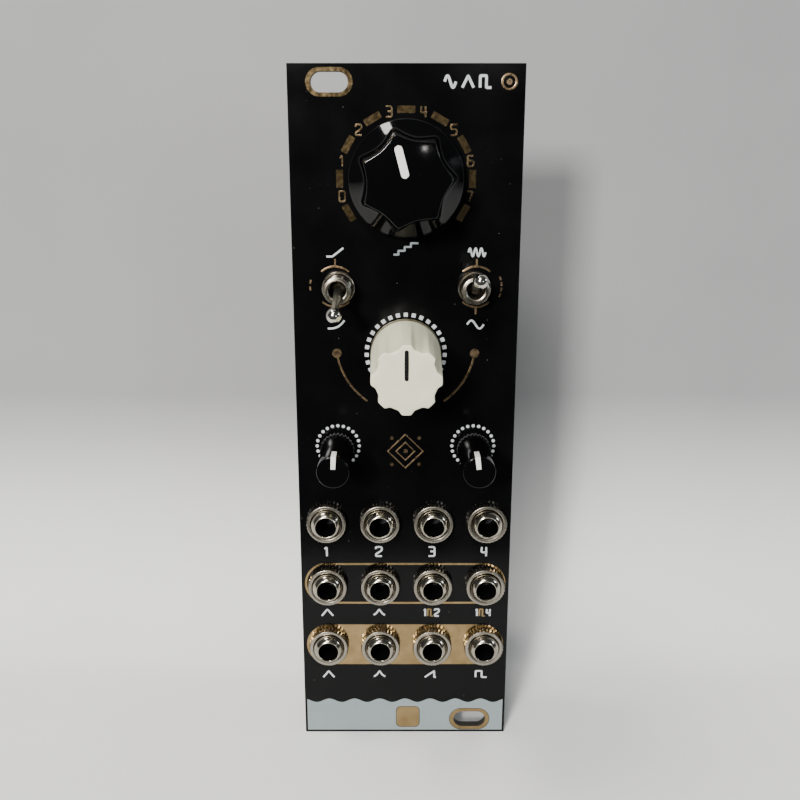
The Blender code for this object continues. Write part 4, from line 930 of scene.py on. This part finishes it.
def addTuneKnob():
    look = tuneKnob
    top, foot, wide, narrow = look["top"], look["foot"], look["footRadius"], look["topRadius"]
    edge = top - 0.05
    rimFoot = foot + 0.5
    sideTop = edge - look["bevel"]
    profile = [(0, top), (narrow * 0.75, top - 0.01)] + edgeArc(narrow, edge, look["bevel"])
    for share in (i / 16 for i in range(1, 17)):
        profile.append((narrow + (wide - narrow) * share, sideTop + (rimFoot - sideTop) * share))
    profile += [(wide - 0.02, foot + 0.3), (wide - 0.3, foot)] + look["under"]

    def fluteAt(radius, out, angle):
        if radius < narrow * 0.76 or out < rimFoot:
            return 0
        lobe = angle * look["lobes"] / (2 * math.pi) + 0.5
        share = abs(lobe - round(lobe)) * 2 * math.pi / look["lobes"] / look["valley"]
        rise = min(1, max(0, (out - look["fadeFoot"]) / (top - look["fadeFoot"])))
        return look["depth"] * (1 - share**4) ** 2 * rise**0.6 if share < 1 else 0

    shape = carved(spun(profile, look["lobes"] * look["stepsPerLobe"]), fluteAt)
    rides = {"body": "tune_dial", "slot": "cream", "place": (tuneAxis.x, frontFace, tuneAxis.z)}
    addPiece("tuneKnobBody", shape, ["ivory"], replaces=["tune_knob"], sharp=40, **rides)
    start, end = look["pointer"]
    line = turned(stadiumFace((end - start) * mm, look["pointerWidth"] * mm, 8), math.pi / 2, "Y")
    line = thicken(line, look["pointerThick"] * mm)
    shifted(line, 0, (start + end) / 2 * mm, -(top - look["pointerSink"]) * mm)
    addPiece("tunePointer", line, ["pointerBlack"], **rides)


smallKnob = {
    "radius": 2.9, "base": 3.09, "foot": 0.8, "top": 15.0, "bevel": 0.16, "ribs": 26, "stepsPerRib": 8,
    "ribDepth": 0.16, "ribTop": 3.95, "under": [(2.1, 0.8), (2.1, 3.0), (0, 3.0)],
    "turns": {"left": math.radians(3), "right": math.radians(-7)},
    "pointerWidth": 0.88, "pointerDown": 3.0, "pointerEnd": 0.55, "pointerEdge": 0.05,
}


def addSmallKnob(side):
    look = smallKnob
    radius, base, foot, top, ribTop = (look[name] for name in ("radius", "base", "foot", "top", "ribTop"))
    profile = [(0, top), (1.5, top - 0.01)] + edgeArc(radius - 0.08, top - 0.02, look["bevel"])
    profile += [(radius - 0.04, 9), (radius, ribTop + 0.3), (radius + 0.05, ribTop + 0.1)]
    profile += [(base - 0.05, ribTop), (base, ribTop - 0.1), (base, 2.2), (base, foot + 0.1)]
    profile += [(base - 0.1, foot)] + look["under"]

    def ribAt(reach, out, angle):
        if reach > radius + 0.1 and out < ribTop + 0.05:
            return (1 - abs(math.cos(look["ribs"] * angle / 2))) ** 1.5 * look["ribDepth"]
        return 0

    shape = carved(spun(profile, look["ribs"] * look["stepsPerRib"]), ribAt)
    axis = smallAxes[side]
    rides = {"body": f"{side}_small_dial", "slot": "gloss_black", "place": (axis.x, frontFace, axis.z)}
    rides["turn"] = look["turns"][side]
    addPiece(f"{side}KnobBody", shape, ["glossBlack"], replaces=[f"{side}_small_knob"], sharp=30, **rides)
    half, outside, bevel = look["pointerWidth"] / 2 * mm, (radius - 0.02) * mm, look["pointerEdge"] * mm
    pointer = boxOf((-half, -top * mm, look["pointerEnd"] * mm), (half, -(top - 0.3) * mm, outside), bevel)
    flank = boxOf((-half, -(top - 0.06) * mm, outside - 0.5 * mm),
                  (half, -(top - look["pointerDown"]) * mm, outside), bevel)
    addPiece(f"{side}KnobPointer", mergeInto(pointer, flank), ["pointerWhite"], **rides)


addOctaveKnob()
addTuneKnob()
addSmallKnob("left")
addSmallKnob("right")
print("knobs made")


# Jacks; sizes in mm

jackLook = {
    "nutRadius": 3.85, "nutBore": 3.0, "nutFoot": 0.1, "nutTop": 1.8, "chamfer": 0.2, "teeth": 34,
    "stepsPerTooth": 4, "toothDepth": 0.42, "turnUpTo": 9,
    "bushing": 2.9, "neck": 2.3, "neckTop": -1.95, "top": 3.15, "bore": 1.8, "boreDepth": 9.0, "ridges": 6,
    "ridgePitch": 0.5, "ridge": 0.08, "wall": 1.2, "caseEdge": 0.25, "caseHole": 2.35, "legs": (-3.6, 0, 3.6),
    "leg": ((-0.3, -0.1, 0.9), (0.3, 0.25, 1.3)), "spring": 1.4, "springEnd": 1.4,
    "dome": [
        (2.89, 1.7), (2.89, 2.0), (2.82, 2.28), (2.68, 2.54), (2.5, 2.78), (2.32, 2.97), (2.16, 3.1),
        (2.03, 3.15), (1.94, 3.12), (1.87, 3.02), (1.83, 2.85),
    ],
}


def addJackNut(name, axis):
    look = jackLook
    outer, bore, foot, top = look["nutRadius"], look["nutBore"], look["nutFoot"], look["nutTop"]
    shoulder = outer - look["chamfer"]
    profile = [(bore, foot), (outer - 0.1, foot), (outer, foot + 0.12), (outer, top - look["chamfer"])]
    profile += [(shoulder, top - 0.03), (shoulder - 0.06, top)]
    profile += [(bore + 0.1, top), (bore + 0.04, top - 0.04), (bore, top - 0.2)]

    def toothAt(radius, out, angle):
        if radius > outer - 0.12:
            return look["toothDepth"] * abs(math.sin(look["teeth"] * angle / 2)) ** 1.5
        return 0

    shape = carved(spun(profile, look["teeth"] * look["stepsPerTooth"], closeRing=True), toothAt)
    turn = math.radians(dice.uniform(0, look["turnUpTo"]))
    addPiece(f"jackRing_{name}", shape, ["nutNickel"], replaces=[f"jack_nut_{name}"], slot="nickel",
             place=(axis.x, frontFace, axis.z), turn=turn, sharp=38)


def addJack(name, axis):
    look = jackLook
    bore, deep, bushing, neckTop = look["bore"], -look["boreDepth"], look["bushing"], look["neckTop"]
    inside = bore + 0.16
    profile = [(inside, deep), (look["neck"], deep), (look["neck"], neckTop), (bushing, neckTop)]
    for out in (turn * look["ridgePitch"] for turn in range(look["ridges"])):
        # a few thread ridges under the nut's top
        profile += [(bushing, out - 1.5), (bushing - look["ridge"], out - 1.25)]
    profile += look["dome"] + [(bore, look["top"] - 0.6), (inside, look["top"] - 0.75)]
    addPiece(f"jackBushing_{name}", spun(profile, 64, closeRing=True), ["nickel"], replaces=[f"jack_{name}"],
             slot="nickel", place=(axis.x, frontFace, axis.z), sharp=30)
    low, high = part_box(f"jack_{name}")
    front = panelBack + 0.3 * mm
    wall = look["wall"] * mm
    shell = boxOf((low.x, front, low.z), high, look["caseEdge"] * mm)
    hollow = boxOf((low.x + wall, front + wall, low.z - wall), (high.x - wall, high.y - wall, high.z - wall))
    shell = pierce(shell, [hollow, shifted(rodOf(look["caseHole"] * mm, -20 * mm, 0, 40), axis.x, axis.z)])
    # a liner of black plastic inside the bushing and a disc that closes the bore's bottom, both in the painted
    # bore shade: the black plastic is real, its extra darkness and the disc are painted shade
    liner = [(bore + 0.03, 2.3), (inside - 0.02, 2.3), (inside - 0.02, deep), (bore + 0.03, deep)]
    liner = spun(liner, 48, closeRing=True)
    for dark in (liner, rodOf(bore * mm, deep * mm, (0.3 + deep) * mm, 32)):
        mergeInto(shell, shifted(dark, axis.x, axis.z, frontFace), 2)
    for off in look["legs"]:  # legs that carry it on the control board
        mergeInto(shell, boxAt(axis.x + off * mm, high.y, low.z, *look["leg"]), 1)
    half = look["spring"] * mm
    spring = boxOf((axis.x - half, front + 2.4 * mm, low.z + 0.25 * mm),
                   (axis.x + half, high.y - look["springEnd"] * mm, low.z + 0.5 * mm), 0.05 * mm)
    mergeInto(shell, spring, 1)
    addPiece(f"jackCase_{name}", shell, ["blackPlastic", "nickel", "paintedBoreShade"], slot="black_case", sharp=30)


for jackName, jackAxis in jackAxes.items():
    addJackNut(jackName, jackAxis)
    addJack(jackName, jackAxis)
print("jacks made")


# Toggle switches; sizes in mm

toggleLook = {
    "nutRadius": 2.9, "nutTop": 1.8, "nutFoot": 0.1, "bushing": 2.4, "rim": 2.1, "mouth": 1.78, "top": 6.0,
    "threadPitch": 0.5, "threadDepth": 0.2, "flange": (0.3, 1.1), "flangeHole": 1.9,
    "pivotOut": 1.0, "lean": math.radians(12.6), "stem": 0.74, "stemFoot": -4.6, "tip": 1.3, "reach": 13.0,
    "ball": 1.3,
}


def ballArc(radius, out, start, end, steps):
    # points on a ball from one angle to another, in degrees from its top, without the first
    angles = [math.radians(start + (end - start) * i / steps) for i in range(1, steps + 1)]
    return [(radius * math.sin(angle), out + radius * math.cos(angle)) for angle in angles]


def addToggle(side, lean):
    look = toggleLook
    axis = toggleAxes[side]
    place = (axis.x, frontFace, axis.z)
    outer, foot, nutTop = look["nutRadius"], look["nutFoot"], look["nutTop"]
    nut = [(2.45, foot), (outer, foot), (outer, nutTop - 0.1), (outer - 0.1, nutTop)]
    nut += [(2.62, nutTop), (2.5, nutTop - 0.12)]
    ring = spun(nut, 64, closeRing=True)
    addPiece(f"{side}ToggleRing", ring, ["dullNickel"], replaces=[f"{side}_toggle_nut"], slot="nickel",
             place=place, sharp=40)
    bushing, top, rim, mouth, pivot = (look[key] for key in ("bushing", "top", "rim", "mouth", "pivotOut"))
    profile = [(1.7, -2.7), (bushing, -2.7)]
    height = 0.2
    while height < top - 0.55:  # the thread's ridges, as rings
        profile += [(bushing, height), (bushing - look["threadDepth"], height + look["threadPitch"] / 2)]
        height += look["threadPitch"]
    profile += [(bushing - 0.06, top - 0.5), (rim + 0.1, top - 0.46), (rim + 0.1, top - 0.14)]
    profile += [(rim + 0.02, top - 0.03), (rim - 0.07, top), (mouth + 0.06, top), (mouth, top - 0.08)]
    profile += [(mouth, top - 1.1)]
    profile += [(1.6, top - 1.15), (1.56, top - 1.6), (1.5, pivot + 0.4), (1.5, pivot)]
    tube = spun(profile, 56, closeRing=True)
    low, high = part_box(f"{side}_toggle_case")
    front, back = (panelBack + out * mm for out in look["flange"])
    flange = boxOf((low.x, front, low.z), (high.x, back, high.z), 0.1 * mm)
    flange = pierce(flange, [shifted(rodOf(look["flangeHole"] * mm, -9 * mm, 9 * mm, 32), axis.x, axis.z)])
    mergeInto(tube, shifted(flange, -axis.x, -axis.z, -frontFace))
    addPiece(f"{side}ToggleBushing", tube, ["dullNickel"], replaces=[f"{side}_toggle_bushing"], slot="nickel",
             place=place, sharp=30)

    stem, end, reach = look["stem"], look["stemFoot"], look["reach"]
    profile = [(0, end), (stem - 0.1, end), (stem, end + 0.15), (stem, -1.15)]
    profile += ballArc(look["ball"], 0, 155, 25, 12)[:-1] + [(stem, 1.4), (stem - 0.16, reach - 1.2)]
    profile += ballArc(look["tip"], reach, 148, 0, 16)
    lever = spun(profile, 40)
    for face in lever.faces:
        face.material_index = 0 if -face.calc_center_median().y > (reach - 1.25) * mm else 1
    place = (axis.x, frontFace - pivot * mm, axis.z)
    addPiece(f"{side}ToggleLever", turned(lever, lean, "X"), ["chrome", "satinNickel"], body=f"{side}_toggle",
             replaces=[f"{side}_toggle_lever"], slot="nickel", place=place, sharp=40)


addToggle("left", toggleLook["lean"])
addToggle("right", -toggleLook["lean"])
print("toggles made")


# Boards

boardLook = {"edgeBevel": 0.05 * mm, "screwHole": 1.7 * mm}
controlLow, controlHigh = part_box("control_board")
circuitLow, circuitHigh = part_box("circuit_board")
seat = circuitHigh.y  # the circuit board's back, on which most small parts stand
pillarAxis, headerAxis, stripAxis = middle("board_pillar"), middle("power_header"), middle("board_pin_strip")
pinPitch = 2.54 * mm


def addBoard(name, node):
    low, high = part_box(node)
    hole = rodOf(boardLook["screwHole"], -high.y - past, past - low.y, 32)
    shifted(hole, pillarAxis.x, pillarAxis.z)
    addSheet(name, node, [hole], boardLook["edgeBevel"], "boardMask", "board")


jointLook = {
    "profile": [(0, 0.95), (0.27, 0.9), (0.38, 0.45), (0.82, 0.03), (0.82, 0), (0, 0)], "steps": 10,
    "octaveRing": 6.5 * mm, "octaveCount": 10,
    # how far apart and how far below the axis
    "jack": (3.6 * mm, 4.2 * mm), "tune": (2.5 * mm, 6.4 * mm), "small": (2.5 * mm, 5.6 * mm),
}


def addJoints(name, places, y, way):
    # cones of solder round the ends of pins; way is 1 on a board's back and -1 on its front
    cones = []
    for x, z in places:
        cone = turned(spun(jointLook["profile"], jointLook["steps"]), math.pi * (way + 1) / 2, "X")
        cones.append(shifted(cone, x, z, y))
    addPiece(name, merged(cones), ["tin"], slot="board")


def pinPlaces(axis, columns, rows):
    steps = [(i - (columns - 1) / 2, j - (rows - 1) / 2) for i in range(columns) for j in range(rows)]
    return [(axis.x + i * pinPitch, axis.z + j * pinPitch) for i, j in steps]


def addAllJoints():
    look = jointLook
    trimmer = middle("trimmer_case")
    front = pinPlaces(headerAxis, 5, 2) + [(trimmer.x + i * pinPitch, trimmer.z) for i in (-1, 0, 1)]
    addJoints("circuitFrontJoints", front, circuitLow.y, -1)
    addJoints("circuitBackJoints", pinPlaces(stripAxis, 1, 10), circuitHigh.y, 1)
    control = []
    dropped = [("jack", axis) for axis in jackAxes.values()] + [("tune", tuneAxis)]
    for kind, axis in dropped + [("small", axis) for axis in smallAxes.values()]:
        spacing, drop = look[kind]
        control += [(axis.x + i * spacing, axis.z - drop) for i in (-1, 0, 1)]
    for axis in toggleAxes.values():
        control += [(axis.x, axis.z + i * pinPitch) for i in (-1, 0, 1)]
    for i in range(look["octaveCount"]):
        angle = 360 / look["octaveCount"] * (i + 0.5)
        control.append(around(octaveAxis.x, octaveAxis.z, look["octaveRing"], angle))
    addJoints("controlJoints", control, controlHigh.y, 1)


addBoard("controlSheet", "control_board")
addBoard("circuitSheet", "circuit_board")
addAllJoints()
print("boards made")


# Pins and connectors

pinHalf = 0.32 * mm
headerLook = {
    "wall": 1.2 * mm, "floor": 2.5 * mm, "key": 4.5 * mm, "pinReach": 8.0 * mm, "bevel": 0.25 * mm,
    "arrow": ((-0.05, -3, 0.8), (0.3, -1.5, 2.3)),  # the mark for the first pin, in mm from a corner
}
stripLook = {"thick": 2.5 * mm, "bevel": 0.3 * mm}


def pinAt(x, z, low, high, bevel):
    return boxOf((x - pinHalf, low, z - pinHalf), (x + pinHalf, high, z + pinHalf), bevel, 1)


def addPowerHeader():
    look = headerLook
    low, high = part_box("power_header")
    wall, bottom, half = look["wall"], low.y + look["floor"], look["key"] / 2
    hollow = boxOf((low.x + wall, bottom, low.z + wall), (high.x - wall, high.y + past, high.z - wall))
    middleX = headerAxis.x
    key = boxOf((middleX - half, bottom, headerAxis.z), (middleX + half, high.y + past, high.z + past))
    shell = pierce(pierce(boxOf(low, high, look["bevel"]), [hollow]), [key])
    for x, z in pinPlaces(headerAxis, 5, 2):
        mergeInto(shell, pinAt(x, z, low.y + past, low.y + look["pinReach"], 0.12 * mm), 1)
    mergeInto(shell, boxAt(low.x, high.y, low.z, *look["arrow"]))
    addPiece("powerShroud", shell, ["blackPlastic", "gold"], replaces=["power_header"], slot="black_case",
             sharp=30)


def addPinStrip():
    look = stripLook
    low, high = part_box("board_pin_strip")
    half = pinPitch / 2
    whole = bmesh.new()
    for x, z in pinPlaces(stripAxis, 1, 10):
        block = boxOf((low.x, low.y, z - half), (high.x, low.y + look["thick"], z + half), look["bevel"], 1)
        mergeInto(whole, block)
        mergeInto(whole, pinAt(x, z, low.y + past, high.y, 0.1 * mm), 1)
    addPiece("pinStrip", whole, ["blackPlastic", "gold"], replaces=["board_pin_strip"], slot="black_case",
             sharp=30)


addPowerHeader()
addPinStrip()
print("connectors made")


# What stands on the circuit board's back

chipLook = {
    "edge": 0.14 * mm, "lift": 0.12 * mm, "lead": 0.15 * mm, "leadShare": 0.16, "bendShare": 0.45,
    "dot": 0.28 * mm, "dotPlace": (-0.66, 0.74),  # in shares of half the body
}
chipKinds = {  # sizes in mm; reach is the leads', and clear is how much free space the body wants
    "core": {"body": (8.5, 8.5), "height": 1.4, "count": 11, "pitch": 0.7, "reach": 0.74, "clear": (1.3, 1.3)},
    "long": {"body": (3.9, 8.7), "height": 1.6, "count": 7, "pitch": 1.27, "reach": 1, "clear": (1.6, 0.4)},
    "short": {"body": (3.9, 4.9), "height": 1.6, "count": 4, "pitch": 1.27, "reach": 1, "clear": (1.6, 0.4)},
}
chips = [
    ("core", (0.0, 84.0)), ("long", (-8.2, 107.0)), ("long", (1.2, 107.0)), ("short", (12.0, 84.0)),
    ("long", (-9.0, 63.0)), ("long", (9.5, 63.0)), ("short", (0.0, 47.5)), ("short", (0.0, 35.0)),
]
smallParts = {
    "resistor": {"size": (1.6, 0.82, 0.45), "cap": 0.3, "look": "blackPlastic"},
    "ceramic": {"size": (2.0, 1.25, 0.95), "cap": 0.42, "look": "ceramic"},
    "diode": {"size": (2.6, 1.5, 1.05), "cap": 0.3, "look": "blackPlastic"},
}
partGrid = {  # sizes in mm
    "columns": 12, "rows": 39, "first": (-16.5, 12.6), "step": (3.0, 2.7), "half": (1.5, 1.0),
    "kinds": {"resistor": 0.36, "ceramic": 0.53, "diode": 0.58, "via": 0.8},  # the draw's limit for each
    "via": (0.32, 0.03), "viaOff": (0.8, 0.6),
}
keptClear = [  # middles and half sizes of what else stands there, in mm
    (0.0, 22.0, 11.4, 5.8), (-12.5, 36.0, 4.6, 4.6), (12.5, 36.0, 4.6, 4.6), (11.5, 98.0, 4.7, 4.7),
    (0.0, 61.0, 3.8, 3.8), (-16.5, 84.0, 2.0, 13.4),
]


def addLead(body, out, side, turn, look, x, z):
    # one bent lead: a shoulder, a drop and a foot, for the side that faces +X before the turn
    thin, half = chipLook["lead"], look["pitch"] * chipLook["leadShare"] * mm
    mid = seat + look["height"] * mm * 0.5
    drop = side + look["reach"] * chipLook["bendShare"] * mm
    reach = side + look["reach"] * mm
    for low, high in (
        ((side - 0.1 * mm, mid - thin / 2, out - half), (drop, mid + thin / 2, out + half)),
        ((drop - thin, seat, out - half), (drop, mid + thin / 2, out + half)),
        ((drop - thin, seat, out - half), (reach, seat + thin, out + half)),
    ):
        mergeInto(body, shifted(turned(boxOf(low, high), turn, "Y"), x, z), 1)


def addChips():
    for number, (kind, place) in enumerate(chips):
        look = chipKinds[kind]
        width, length = (value * mm / 2 for value in look["body"])
        top = seat + look["height"] * mm
        x, z = (value * mm for value in place)
        body = boxOf((-width, seat + chipLook["lift"], -length), (width, top, length), chipLook["edge"], 1)
        shifted(body, x, z)
        sides = 4 if kind == "core" else 2
        for turn in (i * 2 * math.pi / sides for i in range(sides)):
            for i in range(look["count"]):
                out = (i - (look["count"] - 1) / 2) * look["pitch"] * mm
                addLead(body, out, width, turn, look, x, z)
        mark = rodOf(chipLook["dot"], -top - 0.01 * mm, -top + 0.05 * mm, 16)
        shareX, shareZ = chipLook["dotPlace"]
        mergeInto(body, shifted(mark, x + width * shareX, z + length * shareZ), 2)
        replaced = {"replaces": ["core_chip"], "slot": "black_case"} if kind == "core" else {"slot": "board"}
        addPiece(f"chip{number}", body, ["blackPlastic", "tin", "greyPrint"], sharp=30, **replaced)


def slabOf(ends, half, low, high, bevel=0.0):
    left, right = sorted(ends)
    return boxOf((left, low, -half), (right, high, half), bevel, 1)


def smallPart(look):
    # a body, its two metal ends and their solder, as (material, shape)
    length, width, height = (value * mm for value in look["size"])
    tip, start = length / 2, length / 2 - look["cap"] * mm
    parts = [(look["look"], slabOf((-start, start), width / 2, seat, seat + height * 0.94, 0.04 * mm))]
    for way in (-1, 1):
        end = slabOf((way * tip, way * start), width * 0.51, seat, seat + height, 0.06 * mm)
        pad = slabOf((way * start, way * (tip + 0.3 * mm)), width * 0.55, seat - 0.02 * mm, seat + 0.06 * mm)
        parts += [("tin", end), ("tin", pad)]
    return parts


def addSmallParts():
    grid = partGrid
    taken = list(keptClear)
    for kind, place in chips:
        look = chipKinds[kind]
        taken.append((*place, *(size / 2 + spare for size, spare in zip(look["body"], look["clear"]))))
    groups = {"blackPlastic": [], "ceramic": [], "tin": []}
    vias = []
    for row in range(grid["rows"]):
        upright = row % 4 == 1
        wide, tall = reversed(grid["half"]) if upright else grid["half"]
        z = grid["first"][1] + row * grid["step"][1]
        for column in range(grid["columns"]):
            x = grid["first"][0] + column * grid["step"][0]
            if any(abs(x - a) < c + wide and abs(z - b) < d + tall for a, b, c, d in taken):
                continue
            draw = dice.random()
            kind = next((name for name, limit in grid["kinds"].items() if draw < limit), None)
            if kind == "via":
                offX, offZ = (dice.uniform(-off, off) for off in grid["viaOff"])
                vias.append(((x + offX) * mm, (z + offZ) * mm))
            if kind not in smallParts:
                continue
            for name, shape in smallPart(smallParts[kind]):
                if upright:
                    turned(shape, math.pi / 2, "Y")
                groups[name].append(shifted(shape, x * mm, z * mm))
    whole = bmesh.new()
    for index, shapes in enumerate(groups.values()):
        for shape in shapes:
            mergeInto(whole, shape, index)
    addPiece("smallParts", whole, list(groups), slot="board", sharp=30)
    radius, height = (size * mm for size in grid["via"])
    rings = [shifted(rodOf(radius, -seat - height, -seat, 14), x, z) for x, z in vias]
    addPiece("vias", merged(rings), ["gold"], slot="board")


traceLook = {  # in mm
    "count": 64, "line": 0.3, "startX": (-17, 17), "startZ": (13, 115), "slant": (1, 4), "run": (3, 14),
    "halfWidth": 18.6, "foot": 11, "top": 117.5, "outline": 0.2, "chipSpare": (1.35, 0.35), "spare": -0.9,
}


def addTraces():
    # copper lines under the mask, each straight, then slanted, then straight
    look = traceLook
    lines = []
    for i in range(look["count"]):
        x, z = dice.uniform(*look["startX"]), dice.uniform(*look["startZ"])
        slant = dice.uniform(*look["slant"]) * dice.choice((-1, 1))
        first, last = dice.uniform(*look["run"]), dice.uniform(*look["run"])
        along = (0, first, first + abs(slant), first + abs(slant) + last)
        across = (0, 0, slant, slant)
        line = [(x + a, z + b) for a, b in (zip(across, along) if i % 2 else zip(along, across))]
        if all(abs(a) < look["halfWidth"] and look["foot"] < b < look["top"] for a, b in line):
            lines.append([(a * mm, b * mm) for a, b in line])
    onBoard = {"slot": "board", "place": (0, seat, 0), "sharp": 8}
    addPiece("traces", strokeMesh(lines, look["line"] * mm), ["trace"], **onBoard)
    areas = []
    for kind, place in chips[1:]:
        halves = (size / 2 + spare for size, spare in zip(chipKinds[kind]["body"], look["chipSpare"]))
        areas.append((*place, *halves))
    areas += [(x, z, a + look["spare"], b + look["spare"]) for x, z, a, b in keptClear[:4]]
    corners = ((-1, -1), (1, -1), (1, 1), (-1, 1))
    outlines = [[((x + u * a) * mm, (z + v * b) * mm) for u, v in corners] for x, z, a, b in areas]
    ribbons = strokeMesh(outlines, look["outline"] * mm, cyclic=True)
    addPiece("partOutlines", ribbons, ["white"], **onBoard)


canLook = {  # in mm
    "radius": 3.15, "length": 7.7, "neck": 1.5, "neckDepth": 0.22, "edge": 0.45, "base": 3.3,
    "baseHeight": 1.1, "cut": 1.2, "markEdge": 0.6, "markSide": -0.9, "tab": (0.5, 0.15, 0.35),
}


def addCapacitor(side):
    look = canLook
    node = f"{side}_filter_capacitor"
    axis = middle(node)
    radius, length, neck, edge = look["radius"], look["length"], look["neck"], look["edge"]
    waist = radius - look["neckDepth"]
    profile = [(0, -length), (radius - edge, -length), (radius - 0.12, -length + 0.14)]
    profile += [(radius, -length + edge), (radius, -neck - 0.35), (waist, -neck - 0.1), (waist, -neck + 0.1)]
    can = spun(profile + [(radius, -neck + 0.35), (radius, -0.1), (0, -0.1)], 48)
    mark = stadiumFace(2 * (radius - look["markEdge"]) * mm, 2 * (radius - look["markEdge"]) * mm, 20)
    for vert in mark.verts:
        vert.co.x = min(vert.co.x, look["markSide"] * mm)
    bmesh.ops.remove_doubles(mark, verts=mark.verts, dist=0.01 * mm)
    mergeInto(can, shifted(thicken(mark, 0.06 * mm), 0, 0, (length + 0.04) * mm), 1)
    base = look["base"] * mm
    foot = boxOf((-base, 0, -base), (base, look["baseHeight"] * mm, base))
    bevelled(foot, [line for line in outwardEdges(foot) if line.verts[0].co.x > 0], look["cut"] * mm, 1)
    mergeInto(can, foot, 1)
    half, high, tall = (size * mm for size in look["tab"])
    for way in (-1, 1):
        mergeInto(can, boxOf((way * base - half, 0, -tall), (way * base + half, high, tall)), 0)
    addPiece(f"{side}Can", can, ["steel", "blackPlastic"], replaces=[node], slot="steel_case",
             place=(axis.x, seat, axis.z), sharp=30)


addChips()
addSmallParts()
addTraces()
addCapacitor("left")
addCapacitor("right")
print("small parts made")


# Covers and legs of the pots and switches

coverLook = {
    "front": 0.2 * mm, "wall": 0.15 * mm, "share": 0.55, "edge": 0.3 * mm, "tab": 1 * mm,
    "leg": 0.35 * mm, "legDrop": 1.0 * mm, "legFront": 1.6 * mm, "legThick": 0.3 * mm,
}
strapLook = {  # in mm
    "ring": [(8.45, -1.2), (8.68, -1.2), (8.68, -3.4), (8.45, -3.4)], "half": 1.6, "out": (2.0, 9.2),
    "off": (8.3, 8.75),
}


def addCover(name, node, legX):
    look = coverLook
    low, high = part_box(node)
    centre, wall = (low + high) / 2, look["wall"]
    start = panelBack + look["front"]
    reach = start + (high.y - start) * look["share"]
    cover = boxOf((low.x - wall, start, low.z - wall), (high.x + wall, reach, high.z + wall), look["edge"])
    for side in (low.x, high.x):  # tabs that hold the cover to the case
        tab = boxOf((side - wall, reach - 0.5 * mm, centre.z - look["tab"]),
                    (side + wall, high.y - 0.6 * mm, centre.z + look["tab"]), 0.05 * mm, 1)
        mergeInto(cover, tab)
    half, thick = look["leg"], look["legThick"]
    foot, front = low.z - look["legDrop"], high.y - look["legFront"]
    for off in legX:
        x = centre.x + off
        mergeInto(cover, boxOf((x - half, front, foot), (x + half, front + thick, low.z + thick)))
        mergeInto(cover, boxOf((x - half, front, foot), (x + half, controlLow.y + 0.05 * mm, foot + thick)))
    addPiece(name, cover, ["steel"], slot="steel_case", sharp=30)


def addStrap():
    look = strapLook
    ring = spun(look["ring"], 72, closeRing=True)
    half, (low, high) = look["half"] * mm, (out * mm for out in look["out"])
    for way in (1, -1):
        near, far = sorted(way * off * mm for off in look["off"])
        mergeInto(ring, boxOf((-half, low, near), (half, high, far), 0.1 * mm, 1))
    place = (octaveAxis.x, 0, octaveAxis.z)
    addPiece("octaveStrap", ring, ["steel"], slot="steel_case", place=place, sharp=30)


potLegs = (-2.5 * mm, 0, 2.5 * mm)
addCover("tunePotCover", "tune_pot_case", potLegs)
for side in ("left", "right"):
    addCover(f"{side}PotCover", f"{side}_small_pot_case", potLegs)
    addCover(f"{side}ToggleCover", f"{side}_toggle_case", ())
addStrap()
print("covers made")


# Nodes whose own shape is kept

keptLooks = {
    ("blackPlastic", "nickel"): (
        "octave_switch_case", "tune_pot_case", "left_small_pot_case", "right_small_pot_case",
    ),
    ("nickel",): ("octave_switch_nut", "tune_pot_washer", "tune_pot_nut", "board_pillar", "pillar_screw"),
    ("steel",): ("octave_switch_shaft", "tune_pot_shaft", "left_small_pot_shaft", "right_small_pot_shaft"),
    ("blackPlastic",): ("left_toggle_case", "right_toggle_case", "board_socket"),
    ("bluePlastic",): ("trimmer_case",),
    ("ivory",): ("trimmer_rotor",),
}
for names, nodes in keptLooks.items():
    for node in nodes:
        mesh = cadNodes[node].data
        mesh.materials.clear()
        for name in names:
            mesh.materials.append(looks[name])
        if len(names) > 1:  # the second is for the bushing, which stands out of the case
            for polygon in mesh.polygons:
                y = (cadNodes[node].matrix_world @ polygon.center).y
                polygon.material_index = 1 if y < panelBack + 0.25 * mm else 0
print("kept nodes dressed")
